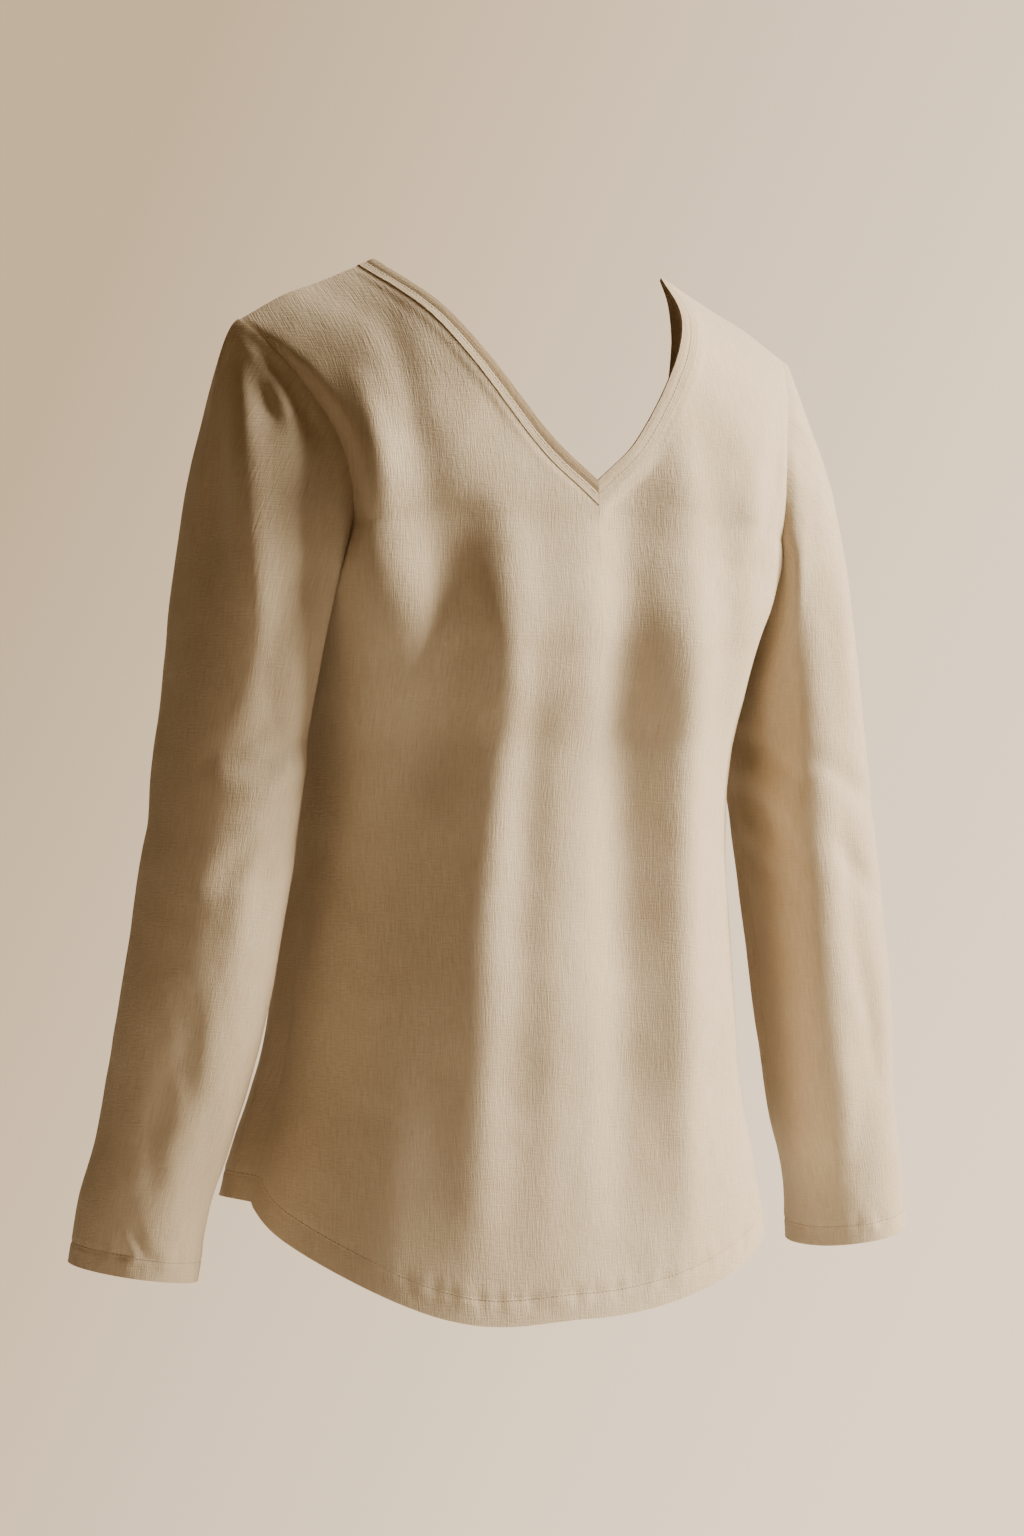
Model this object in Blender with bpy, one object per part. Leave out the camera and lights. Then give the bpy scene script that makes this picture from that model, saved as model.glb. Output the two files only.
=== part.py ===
"""A hip-length V-neck blouse with long set-in sleeves, filled out as when worn.

Lengths are in metres. The front faces -Y, the wearer's left is +X and up is +Z.
The origin is midway between the two neck points, on top of the shoulders.
Every piece is worked out on the +X side and mirrored for the other side.
"""

import math
from collections import namedtuple

import bpy
from mathutils import Vector

# Cloth and seams
CLOTH = 0.0015
HEM_CLOTH = 0.0026
BAND_CLOTH = 0.0024
SEAM_GAP = 0.0003
NECK_SEAM_GAP = 0.0004
BAND_WIDTH = 0.0110
BAND_PROUD = 0.0004

# Body lengths
CHEST_Z = -0.235
SIDE_HEM_Z = -0.566
FRONT_TAIL = 0.066
BACK_TAIL = 0.040
FRONT_TAIL_CURVE = 0.85
BACK_TAIL_CURVE = 2.2
# The front hem hangs this much lower on the right, most at half of this angle from the middle.
RIGHT_DIP = 0.010
RIGHT_DIP_ANGLE = 75
BODY_HEM = 0.0155
CUFF_HEM = 0.0120
HEM_STEP = 0.0020
SEAM_TURN = 0.75

# Small steps in which the slope of a table or of the wall is measured
NECK_STEP = 0.01
CHEST_STEP = 0.002
SLEEVE_STEP = 0.004

# The left shoulder hangs lower. The drop grows outwards and upwards between these places.
LEFT_SHOULDER_DROP = 0.014
DROP_FROM_X = 0.085
DROP_TO_X = 0.190
DROP_FROM_Z = -0.300
DROP_TO_Z = -0.060

# How many rows and columns the pieces have. HEM_LEVELS are the hem's edge, its fold and the step
# above it. NECK_ROWS run from the neckline to the armhole, and UNDERARM_COLUMNS end at the bottom
# of the armhole.
HEM_LEVELS = 3
BODY_ROWS = 11
CHEST_ROWS = 4
NECK_ROWS = 9
UNDERARM_COLUMNS = 4
FRONT_COLUMNS = 14
HEAD_ROWS = 8
SLEEVE_ROWS = 11
BAND_ROWS = 2

# Level sections of the body, from below the hem to the chest line.
# front and back are the depths from mid_y, and square rounds the section: 2 is an ellipse.
Section = namedtuple("Section", "z half_width front back mid_y square")
BODY = (
    Section(-0.645, 0.1790, 0.121, 0.119, 0.029, 2.25),
    Section(-0.593, 0.1710, 0.117, 0.114, 0.029, 2.30),
    Section(-0.550, 0.1630, 0.113, 0.108, 0.027, 2.30),
    Section(-0.500, 0.1505, 0.108, 0.100, 0.023, 2.30),
    Section(-0.457, 0.1450, 0.104, 0.095, 0.017, 2.30),
    Section(-0.400, 0.1402, 0.101, 0.091, 0.016, 2.30),
    Section(-0.350, 0.1372, 0.100, 0.088, 0.015, 2.35),
    Section(-0.295, 0.1385, 0.106, 0.087, 0.015, 2.45),
    Section(-0.260, 0.1430, 0.118, 0.086, 0.015, 2.55),
    Section(-0.235, 0.1480, 0.124, 0.085, 0.015, 2.60),
)

# Cut edges, as fractions along each edge. lean is how far the cloth leans from upright
# and slope how far it falls towards the arm, both in degrees.
NeckEdge = namedtuple("NeckEdge", "at x y z lean slope")
Edge = namedtuple("Edge", "at x y z")
FRONT_NECK = (
    NeckEdge(0.00, 0.0000, -0.1010, -0.1380, 5, 0),
    NeckEdge(0.17, 0.0273, -0.0975, -0.1140, 8, 2),
    NeckEdge(0.47, 0.0623, -0.0820, -0.0650, 25, 8),
    NeckEdge(0.68, 0.0808, -0.0570, -0.0340, 46, 15),
    NeckEdge(1.00, 0.0980, 0.0000, -0.0020, 86, 22),
)
BACK_NECK = (
    NeckEdge(0.00, 0.0000, 0.0960, -0.1740, 4, 0),
    NeckEdge(0.19, 0.0560, 0.0925, -0.1660, 5, 2),
    NeckEdge(0.34, 0.0950, 0.0840, -0.1420, 9, 6),
    NeckEdge(0.48, 0.1180, 0.0690, -0.1100, 18, 12),
    NeckEdge(0.62, 0.1270, 0.0500, -0.0740, 32, 17),
    NeckEdge(0.76, 0.1220, 0.0300, -0.0400, 52, 22),
    NeckEdge(0.88, 0.1110, 0.0130, -0.0160, 72, 23),
    NeckEdge(1.00, 0.0980, 0.0000, -0.0020, 86, 22),
)
FRONT_ARMHOLE = (
    Edge(0.00, 0.1860, 0.0000, -0.0430),
    Edge(0.14, 0.1760, -0.0220, -0.0590),
    Edge(0.32, 0.1630, -0.0500, -0.0860),
    Edge(0.51, 0.1500, -0.0720, -0.1220),
    Edge(0.69, 0.1450, -0.0740, -0.1640),
    Edge(0.86, 0.1465, -0.0440, -0.1990),
    Edge(1.00, 0.1510, 0.0120, -0.2150),
)
BACK_ARMHOLE = (
    Edge(0.00, 0.1860, 0.0000, -0.0430),
    Edge(0.14, 0.1800, 0.0270, -0.0600),
    Edge(0.32, 0.1710, 0.0540, -0.0900),
    Edge(0.51, 0.1600, 0.0720, -0.1300),
    Edge(0.69, 0.1530, 0.0700, -0.1720),
    Edge(0.86, 0.1500, 0.0480, -0.2020),
    Edge(1.00, 0.1510, 0.0120, -0.2150),
)
# The ridge of the shoulder, from the neck point out to the sleeve.
Ridge = namedtuple("Ridge", "x z")
SHOULDER = (
    Ridge(0.0980, -0.0020),
    Ridge(0.1120, -0.0080),
    Ridge(0.1350, -0.0180),
    Ridge(0.1570, -0.0265),
    Ridge(0.1860, -0.0430),
)

# The line across the upper chest, from the bottom of the neckline to where the armhole
# starts to turn under the arm. foot is the angle below its outer end on the chest line, and
# sag is how far the line dips between its ends.
YokeBase = namedtuple("YokeBase", "half_width depth square foot sag")
FRONT_YOKE = YokeBase(0.1890, 0.1165, 2.6, 60, 0.000)
BACK_YOKE = YokeBase(0.1816, 0.0815, 2.6, 70, 0.024)
YOKE_MID_Y = 0.015

# Level rings of the sleeve below its head.
Ring = namedtuple("Ring", "z x y half_x half_y square")
SLEEVE = (
    Ring(-0.6020, 0.2445, 0.0200, 0.0386, 0.0388, 2.0),
    Ring(-0.5600, 0.2390, 0.0160, 0.0383, 0.0385, 2.0),
    Ring(-0.5200, 0.2275, 0.0110, 0.0405, 0.0410, 2.0),
    Ring(-0.4500, 0.2150, 0.0010, 0.0430, 0.0445, 2.1),
    Ring(-0.3600, 0.2010, -0.0030, 0.0435, 0.0470, 2.2),
    Ring(-0.2850, 0.1910, -0.0020, 0.0412, 0.0512, 2.4),
)
HEAD_END_Z = -0.285
HEAD_OUT = 0.062
HEAD_DOWN = 0.230
CUFF_DIP = 0.0055
CUFF_DIP_FORWARD = 0.5
CUFF_DIP_HEIGHT = 0.080
SLEEVE_GAP = 0.0008
# How the head leaves the armhole: outwards, forwards and down, and how far that swells at the top
HEAD_LEAVE = (0.60, 0.40, 0.75)
HEAD_SWELL = (0.36, 0.36)

# Soft folds, as lines over a piece. depth is below 0 for a trough and above 0 for a ridge.
# On the body, across is the distance from the centre line and is below 0 on the wearer's right.
Fold = namedtuple("Fold", "across z across_end z_end width depth")
FRONT_FOLDS = (
    Fold(-0.086, -0.165, -0.090, -0.310, 0.014, -0.0035),
    Fold(-0.054, -0.180, -0.064, -0.490, 0.016, 0.0040),
    Fold(0.018, -0.200, 0.022, -0.500, 0.018, -0.0042),
    Fold(0.066, -0.240, 0.070, -0.480, 0.015, 0.0032),
    Fold(-0.120, -0.180, -0.118, -0.245, 0.023, 0.0042),
    Fold(0.106, -0.185, 0.102, -0.235, 0.026, 0.0035),
    Fold(-0.137, -0.085, -0.132, -0.150, 0.008, 0.0025),
    Fold(0.150, -0.085, 0.136, -0.150, 0.010, -0.0030),
    Fold(-0.114, -0.045, -0.112, -0.130, 0.009, -0.0018),
    Fold(-0.105, -0.300, -0.118, -0.470, 0.014, -0.0030),
)
BACK_FOLDS = (
    Fold(-0.062, -0.300, -0.052, -0.490, 0.017, -0.0035),
    Fold(0.058, -0.320, 0.066, -0.510, 0.018, -0.0040),
    Fold(0.004, -0.340, -0.006, -0.530, 0.016, 0.0030),
    Fold(-0.112, -0.260, -0.104, -0.450, 0.013, -0.0030),
    Fold(0.116, -0.240, 0.106, -0.420, 0.012, -0.0028),
    Fold(-0.148, -0.090, -0.138, -0.190, 0.010, -0.0025),
    Fold(0.146, -0.100, 0.136, -0.200, 0.010, -0.0025),
    Fold(-0.142, -0.420, -0.170, -0.650, 0.030, 0.0110),
    Fold(0.142, -0.430, 0.170, -0.650, 0.030, 0.0070),
)
# On a sleeve, across is the angle round it in degrees: 0 outwards, 90 forwards, 180 inwards.
RIGHT_SLEEVE_FOLDS = (
    Fold(52, -0.058, 70, -0.105, 0.007, -0.0030),
    Fold(30, -0.080, 52, -0.120, 0.008, -0.0025),
    Fold(95, -0.285, 60, -0.300, 0.009, -0.0030),
    Fold(105, -0.345, 70, -0.372, 0.009, -0.0030),
    Fold(60, -0.440, 64, -0.510, 0.009, -0.0022),
    Fold(290, -0.300, 330, -0.340, 0.010, -0.0030),
    Fold(275, -0.370, 320, -0.400, 0.010, -0.0028),
)
LEFT_SLEEVE_FOLDS = (
    Fold(60, -0.070, 78, -0.120, 0.008, -0.0028),
    Fold(115, -0.300, 50, -0.330, 0.010, -0.0032),
    Fold(105, -0.350, 60, -0.385, 0.010, -0.0026),
    Fold(85, -0.430, 70, -0.500, 0.010, -0.0024),
    Fold(280, -0.310, 325, -0.345, 0.010, -0.0030),
    Fold(270, -0.385, 315, -0.410, 0.010, -0.0026),
)
FOLD_MARGIN = 0.018
FOLD_RADIUS = 0.045
FOLD_ROWS = 2.0
FOLD_INNER = 0.35

# Linen-like cloth, as base colour, roughness and metallic
CLOTH_COLOUR = (0.49, 0.37, 0.24, 1.0)
BAND_COLOUR = (0.43, 0.32, 0.20, 1.0)
CLOTH_ROUGHNESS = 0.9
SHARP_ANGLE = 50
COLLECTION = "v_neck_blouse"


def ease(value):
    """Smooth step from 0 to 1."""
    value = min(1.0, max(0.0, value))
    return value * value * (3.0 - 2.0 * value)


def along(table, at):
    """The row of a table at a value of its first column, on a smooth curve through its rows."""
    keys = [row[0] for row in table]
    at = min(max(at, keys[0]), keys[-1])
    last = len(table) - 1
    k = min(last - 1, max(i for i in range(len(keys)) if keys[i] <= at))
    span = keys[k + 1] - keys[k]
    t = (at - keys[k]) / span

    def rate(i, column):
        low, high = max(0, i - 1), min(last, i + 1)
        return (table[high][column] - table[low][column]) / (keys[high] - keys[low])

    values = [at]
    for column in range(1, len(table[0])):
        start, end = table[k][column], table[k + 1][column]
        values.append(
            start * (1 + 2 * t) * (1 - t) ** 2
            + end * t * t * (3 - 2 * t)
            + rate(k, column) * span * t * (1 - t) ** 2
            - rate(k + 1, column) * span * t * t * (1 - t)
        )
    return type(table[0])(*values)


def sweep(start, leave, end, arrive, t):
    """A point on the smooth curve that leaves one point and arrives at another."""
    return (
        start * ((1 + 2 * t) * (1 - t) ** 2)
        + leave * (t * (1 - t) ** 2)
        + end * (t * t * (3 - 2 * t))
        - arrive * (t * t * (1 - t))
    )


def rounded(angle, half_a, half_b, square):
    """A point on a rounded section, with half_a across and half_b along the angle's zero."""
    s, c = math.sin(angle), math.cos(angle)
    reach = (abs(s / half_a) ** square + abs(c / half_b) ** square) ** (-1.0 / square)
    return reach * s, reach * c


def body_point(angle, z, facing):
    """A point of the body at a level. angle is 0 at the centre of the front or back."""
    row = along(BODY, z)
    depth = row.front if facing < 0 else row.back
    x, out = rounded(angle, row.half_width, depth, row.square)
    return Vector((x, row.mid_y + facing * out, z))


def hem_z(angle, facing, side):
    """Height of the hem, which dips to a tail at the front and at the back, fuller on the right."""
    towards_middle = max(0.0, math.cos(angle))
    if facing < 0:
        dip = math.sin(math.pi * min(1.0, angle / math.radians(RIGHT_DIP_ANGLE))) ** 2
        dip *= RIGHT_DIP if side < 0 else 0.0
        return SIDE_HEM_Z - FRONT_TAIL * towards_middle**FRONT_TAIL_CURVE - dip
    return SIDE_HEM_Z - BACK_TAIL * towards_middle**BACK_TAIL_CURVE


def place(row):
    """The place of a row of an edge."""
    return Vector((row.x, row.y, row.z))


def below_neck(at, distance, facing):
    """The point on the cloth at a distance outside the neckline, and the way it faces there."""
    table = FRONT_NECK if facing < 0 else BACK_NECK
    row = along(table, at)
    lean, slope = math.radians(row.lean), math.radians(row.slope)
    up = Vector((0.0, -facing * math.sin(lean), math.cos(lean)))
    side = Vector((math.cos(slope), 0.0, -math.sin(slope)))
    outside = (side.cross(up) * -facing).normalized()
    run = place(along(table, at + NECK_STEP)) - place(along(table, at - NECK_STEP))
    run.normalize()
    if at <= 0.0:
        return place(row) - up * (distance / run.dot(side)), outside
    away = (side * run.dot(up) - up * run.dot(side)).normalized()
    away = away.lerp(side, ease((at - SEAM_TURN) / (1.0 - SEAM_TURN))).normalized()
    point = place(row) + away * distance
    if at >= 1.0:
        point.y = facing * SEAM_GAP / 2
        outside.y = 0.0
        outside.normalize()
    return point, outside


def armhole_point(at, facing):
    """A point of the armhole seam, from the shoulder at 0 to under the arm at 1."""
    return place(along(FRONT_ARMHOLE if facing < 0 else BACK_ARMHOLE, at))


def yoke_base(facing):
    """Points across the upper chest, from the bottom of the neckline to the armhole."""
    yoke = FRONT_YOKE if facing < 0 else BACK_YOKE
    start, _ = below_neck(0.0, BAND_WIDTH + NECK_SEAM_GAP, facing)
    end = armhole_point(NECK_ROWS / (NECK_ROWS + UNDERARM_COLUMNS), facing)
    end_angle = math.atan2(end.x, abs(end.y - YOKE_MID_Y))
    points = []
    for k in range(FRONT_COLUMNS + 1):
        t = k / FRONT_COLUMNS
        x, out = rounded(end_angle * t, yoke.half_width, yoke.depth, yoke.square)
        height = start.z + (end.z - start.z) * t - yoke.sag * math.sin(math.pi * t)
        points.append(Vector((x, YOKE_MID_Y + facing * out, height)))
    first, last = start - points[0], end - points[-1]
    for k, point in enumerate(points):
        t = k / FRONT_COLUMNS
        point += first * (1.0 - t) + last * t
    return points


def lower_rows(facing, side):
    """Rows of a half panel from the hem to the upper chest and the underarm."""
    yoke = FRONT_YOKE if facing < 0 else BACK_YOKE
    tops = yoke_base(facing)
    angles = [math.radians(yoke.foot) * k / FRONT_COLUMNS for k in range(FRONT_COLUMNS + 1)]
    for k in range(1, UNDERARM_COLUMNS + 1):
        t = k / UNDERARM_COLUMNS
        angles.append(math.radians(yoke.foot + (90 - yoke.foot) * t))
        tops.append(armhole_point((NECK_ROWS + k) / (NECK_ROWS + UNDERARM_COLUMNS), facing))
    rows = [{} for _ in range(HEM_LEVELS + BODY_ROWS + CHEST_ROWS)]
    for column, (angle, top) in enumerate(zip(angles, tops)):
        hem = hem_z(angle, facing, side)
        heights = [hem, hem + BODY_HEM, hem + BODY_HEM + HEM_STEP]
        start = heights[-1]
        heights += [start + (CHEST_Z - start) * k / BODY_ROWS for k in range(1, BODY_ROWS + 1)]
        for i, z in enumerate(heights):
            rows[i][column] = body_point(angle, z, facing)
        chest = rows[len(heights) - 1][column]
        leave = (chest - body_point(angle, CHEST_Z - CHEST_STEP, facing)).normalized()
        reach = (top - chest).length
        for k in range(1, CHEST_ROWS + 1):
            point = sweep(chest, leave * reach, top, Vector((0, 0, reach)), k / CHEST_ROWS)
            rows[len(heights) + k - 1][column] = point
    for row in rows:
        row[len(angles) - 1].y += facing * SEAM_GAP / 2
    return rows


def upper_rows(base, facing):
    """Rows of a half panel from the upper chest to the shoulder, blended between its four edges."""
    drop = BAND_WIDTH + NECK_SEAM_GAP
    neck = [below_neck(i / NECK_ROWS, drop, facing)[0] for i in range(NECK_ROWS + 1)]
    parts = NECK_ROWS + UNDERARM_COLUMNS
    arm = [armhole_point((NECK_ROWS - i) / parts, facing) for i in range(NECK_ROWS + 1)]
    arm[-1].y = facing * SEAM_GAP / 2
    shoulder = []
    for k in range(FRONT_COLUMNS + 1):
        t = k / FRONT_COLUMNS
        x = neck[-1].x + (arm[-1].x - neck[-1].x) * t
        shoulder.append(Vector((x, neck[-1].y, along(SHOULDER, x).z)))
    shoulder[0], shoulder[-1] = neck[-1], arm[-1]
    rows = []
    for i in range(1, NECK_ROWS + 1):
        v = i / NECK_ROWS
        row = {}
        for k in range(FRONT_COLUMNS + 1):
            u = k / FRONT_COLUMNS
            across = neck[i] * (1 - u) + arm[i] * u
            upright = base[k] * (1 - v) + shoulder[k] * v
            corners = (base[0] * (1 - u) + base[-1] * u) * (1 - v)
            corners += (shoulder[0] * (1 - u) + shoulder[-1] * u) * v
            row[k] = across + upright - corners
        rows.append(row)
    return rows


def half_sheet(facing, side):
    """The outside of a half panel: its points, its faces, and the point at each row and column."""
    rows = lower_rows(facing, side)
    base = [rows[-1][k] for k in range(FRONT_COLUMNS + 1)]
    rows += upper_rows(base, facing)
    for row in rows:
        for point in row.values():
            point.x *= side
    return sheet_of(rows, facing * side > 0, False)


def sheet_of(rows, flip, around):
    """Points and faces of a sheet, and the index of the point at each row and column."""
    points, faces, index = [], [], []
    for row in rows:
        index.append({})
        for column in sorted(row):
            index[-1][column] = len(points)
            points.append(row[column])
    for low, high in zip(index, index[1:]):
        for column in low:
            after = (column + 1) % len(low) if around else column + 1
            if after in low and column in high and after in high:
                face = (low[column], low[after], high[after], high[column])
                faces.append(face[::-1] if flip else face)
    return points, faces, index


def joined(first, second, shared_rows):
    """Two half sheets as one, with one set of points down the middle of the rows they share."""
    points, faces, index = first
    more_points, more_faces, more_index = second
    moved = {more_index[i][0]: index[i][0] for i in range(shared_rows)}
    for k, point in enumerate(more_points):
        if k not in moved:
            moved[k] = len(points)
            points.append(point)
    faces += [tuple(moved[k] for k in face) for face in more_faces]
    return points, faces, [{c: moved[k] for c, k in row.items()} for row in more_index]


def sheet_normals(points, faces):
    """The way that the outside faces at each point."""
    normals = [Vector() for _ in points]
    for a, b, c, d in faces:
        normal = (points[c] - points[a]).cross(points[d] - points[b])
        for k in (a, b, c, d):
            normals[k] += normal
    return [normal.normalized() for normal in normals]


def flatten(vector, axis):
    """Turn a direction into the plane of a seam."""
    vector[axis] = 0.0
    vector.normalize()


def fold_depth(folds, across, z, scale):
    """How far the folds move the cloth at a place. scale turns across into metres."""
    total = 0.0
    for fold in folds:
        run = Vector(((fold.across_end - fold.across) * scale, fold.z_end - fold.z))
        off = Vector(((across - fold.across) * scale, z - fold.z))
        t = min(1.0, max(0.0, off.dot(run) / run.length_squared))
        distance = (off - run * t).length
        total += fold.depth * math.exp(-((distance / fold.width) ** 2))
    return total


def settle(point):
    """Lower the left shoulder a little, as the blouse hangs."""
    if point.x > 0.0:
        out = ease((point.x - DROP_FROM_X) / (DROP_TO_X - DROP_FROM_X))
        high = ease((point.z - DROP_FROM_Z) / (DROP_TO_Z - DROP_FROM_Z))
        point.z -= LEFT_SHOULDER_DROP * out * high
    return point


def wall_object(name, points, faces, normals, depths, material):
    """A closed wall: its outside, its inside a depth behind it, and rims along its open edges."""
    total = len(points)
    inner = [settle(p - n * depth) for p, n, depth in zip(points, normals, depths)]
    outer = [settle(p.copy()) for p in points]
    edges = {(a, b) for face in faces for a, b in zip(face, face[1:] + face[:1])}
    walls = list(faces)
    walls += [tuple(k + total for k in reversed(face)) for face in faces]
    walls += [(b, a, a + total, b + total) for a, b in sorted(edges) if (b, a) not in edges]
    mesh = bpy.data.meshes.new(name)
    mesh.from_pydata(outer + inner, [], walls)
    mesh.update()
    mesh.shade_smooth()
    mesh.set_sharp_from_angle(angle=math.radians(SHARP_ANGLE))
    mesh.materials.append(material)
    piece = bpy.data.objects.new(name, mesh)
    bpy.data.collections[COLLECTION].objects.link(piece)
    return piece


def make_panel(name, sheet, halves, facing, folds, material):
    """A body panel with its folds, its turned hem and its seam edges. halves pairs each half's
    points by row and column with its side."""
    points, faces = sheet
    normals = sheet_normals(points, faces)
    base = len(halves[0][0]) - 1 - NECK_ROWS
    last = FRONT_COLUMNS + UNDERARM_COLUMNS
    seams, hem = set(), set()
    for index, _ in halves:
        seams.update(row[last] for row in index[: base + 1])
        seams.update(index[base][k] for k in range(FRONT_COLUMNS, last))
        seams.update(row[k] for row in index[base:] for k in (0, FRONT_COLUMNS))
        seams.update(index[-1].values())
        hem.update(k for row in index[:2] for k in row.values())
    fixed = [points[k].copy() for k in sorted(seams)]
    shifts = []
    for point in points:
        room = min((point - other).length for other in fixed) / FOLD_MARGIN
        shifts.append(fold_depth(folds, point.x, point.z, 1.0) * ease(room))
    for point, normal, shift in zip(points, normals, shifts):
        point += normal * shift
    for index, side in halves:
        for row in index[: base + 1]:
            if facing < 0:
                points[row[0]].x = side * SEAM_GAP / 2
                flatten(normals[row[0]], 0)
            flatten(normals[row[last]], 1)
        for i, row in enumerate(index[base:]):
            outside = below_neck(i / NECK_ROWS, BAND_WIDTH, facing)[1]
            normals[row[0]] = Vector((outside.x * side, outside.y, outside.z))
        for k in index[-1].values():
            flatten(normals[k], 1)
    depths = [HEM_CLOTH if k in hem else CLOTH for k in range(len(points))]
    return wall_object(name, points, faces, normals, depths, material)


def make_front(name, side, material):
    """One half of the front, from the centre seam to the side seam."""
    points, faces, index = half_sheet(-1, side)
    return make_panel(name, (points, faces), [(index, side)], -1, FRONT_FOLDS, material)


def make_back(name, material):
    """The whole back, in one piece."""
    first, second = half_sheet(1, 1), half_sheet(1, -1)
    shared_rows = len(first[2]) - NECK_ROWS
    points, faces, second_index = joined(first, second, shared_rows)
    halves = [(first[2], 1), (second_index, -1)]
    return make_panel(name, (points, faces), halves, 1, BACK_FOLDS, material)


def ring_point(around, z):
    """A point of the sleeve below its head."""
    ring = along(SLEEVE, z)
    forward, out = rounded(around, ring.half_y, ring.half_x, ring.square)
    return Vector((ring.x + out, ring.y - forward, z))


def sleeve_head(k, around):
    """Points of one column of the sleeve's head, from just above its first ring to the armhole."""
    parts = NECK_ROWS + UNDERARM_COLUMNS
    front = k <= parts
    seam = armhole_point((k if front else 2 * parts - k) / parts, -1 if front else 1)
    out, forward, down = HEAD_LEAVE
    swell, lift = HEAD_SWELL
    c, s = math.cos(around), math.sin(around)
    leave = Vector((out + swell * c, -forward * s, -down + lift * c))
    seam.x += SLEEVE_GAP
    below = ring_point(around, HEAD_END_Z)
    arrive = (ring_point(around, HEAD_END_Z - SLEEVE_STEP) - below) / SLEEVE_STEP
    reach = (below - seam).length
    outside = 0.5 + 0.5 * c
    push = reach + (HEAD_OUT - reach) * outside
    pull = reach + (HEAD_DOWN - reach) * outside
    heights = [1.0 - i / HEAD_ROWS for i in range(1, HEAD_ROWS + 1)]
    return [sweep(seam, leave * push, below, arrive * pull, t) for t in heights]


def sleeve_rows():
    """The outside of the sleeve, as rings from the cuff up to the armhole."""
    count = 2 * (NECK_ROWS + UNDERARM_COLUMNS)
    angles = [math.tau * k / count for k in range(count)]
    start = CUFF_HEM + HEM_STEP
    end = HEAD_END_Z - SLEEVE[0].z
    levels = [0.0, CUFF_HEM, start]
    levels += [start + (end - start) * k / SLEEVE_ROWS for k in range(1, SLEEVE_ROWS + 1)]
    rows = []
    for level in levels:
        dip = CUFF_DIP * ease(1.0 - level / CUFF_DIP_HEIGHT)
        row = {}
        for k, around in enumerate(angles):
            row[k] = ring_point(around, SLEEVE[0].z + level)
            row[k].z -= dip * (CUFF_DIP_FORWARD * math.sin(around) - math.cos(around))
        rows.append(row)
    heads = [sleeve_head(k, around) for k, around in enumerate(angles)]
    rows += [{k: head[i] for k, head in enumerate(heads)} for i in range(HEAD_ROWS)]
    return rows, angles


def make_sleeve(name, side, folds, material):
    """A set-in sleeve, open at the armhole and at the cuff."""
    rows, angles = sleeve_rows()
    scale = math.radians(1) * FOLD_RADIUS
    for i, row in enumerate(rows):
        margin = ease((len(rows) - 1 - i) / FOLD_ROWS)
        for k, around in enumerate(angles):
            away = ease((1.0 + math.cos(around)) / FOLD_INNER)
            shift = fold_depth(folds, math.degrees(around), row[k].z, scale) * margin * away
            row[k] += Vector((math.cos(around), -math.sin(around), 0.0)) * shift
            row[k].x *= side
    points, faces, index = sheet_of(rows, side > 0, True)
    normals = sheet_normals(points, faces)
    hem = set(index[0].values()) | set(index[1].values())
    depths = [HEM_CLOTH if k in hem else CLOTH for k in range(len(points))]
    return wall_object(name, points, faces, normals, depths, material)


def band_sheet(facing, side):
    """The outside of a half neckband, from its seam up to its top edge."""
    rows, normals = [], []
    for i in range(BAND_ROWS + 1):
        distance = BAND_WIDTH * (1 - i / BAND_ROWS)
        rows.append({})
        for k in range(NECK_ROWS + 1):
            point, outside = below_neck(k / NECK_ROWS, distance, facing)
            if k == 0 and facing < 0:
                point.x = SEAM_GAP / 2
            point += outside * BAND_PROUD
            point.x *= side
            outside.x *= side
            rows[i][k] = point
            normals.append(outside)
    points, faces, index = sheet_of(rows, facing * side > 0, False)
    return points, faces, index, normals


def make_front_band(name, side, material):
    """The neckband along one edge of the V, from the mitre to the shoulder."""
    points, faces, _, normals = band_sheet(-1, side)
    return wall_object(name, points, faces, normals, [BAND_CLOTH] * len(points), material)


def make_back_band(name, material):
    """The neckband round the back, from shoulder to shoulder."""
    points, faces, index, normals = band_sheet(1, 1)
    more_points, more_faces, more_index, more_normals = band_sheet(1, -1)
    own = {row[0] for row in more_index}
    joined((points, faces, index), (more_points, more_faces, more_index), BAND_ROWS + 1)
    normals += [normal for k, normal in enumerate(more_normals) if k not in own]
    return wall_object(name, points, faces, normals, [BAND_CLOTH] * len(points), material)


def cloth_material(name, colour):
    """A plain matt cloth."""
    material = bpy.data.materials.new(name)
    material.use_nodes = True
    shader = material.node_tree.nodes["Principled BSDF"]
    shader.inputs["Base Color"].default_value = colour
    shader.inputs["Roughness"].default_value = CLOTH_ROUGHNESS
    shader.inputs["Metallic"].default_value = 0.0
    return material


def main():
    """Build the blouse."""
    for old in list(bpy.data.objects):
        bpy.data.objects.remove(old, do_unlink=True)
    collection = bpy.data.collections.new(COLLECTION)
    bpy.context.scene.collection.children.link(collection)
    make_front("front_right", -1, cloth_material("front_right_cloth", CLOTH_COLOUR))
    make_front("front_left", 1, cloth_material("front_left_cloth", CLOTH_COLOUR))
    make_back("back", cloth_material("back_cloth", CLOTH_COLOUR))
    make_sleeve("sleeve_right", -1, RIGHT_SLEEVE_FOLDS, cloth_material("sleeve_right_cloth", CLOTH_COLOUR))
    make_sleeve("sleeve_left", 1, LEFT_SLEEVE_FOLDS, cloth_material("sleeve_left_cloth", CLOTH_COLOUR))
    make_front_band("neckband_front_right", -1, cloth_material("band_right_cloth", BAND_COLOUR))
    make_front_band("neckband_front_left", 1, cloth_material("band_left_cloth", BAND_COLOUR))
    make_back_band("neckband_back", cloth_material("band_back_cloth", BAND_COLOUR))


main()
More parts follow.
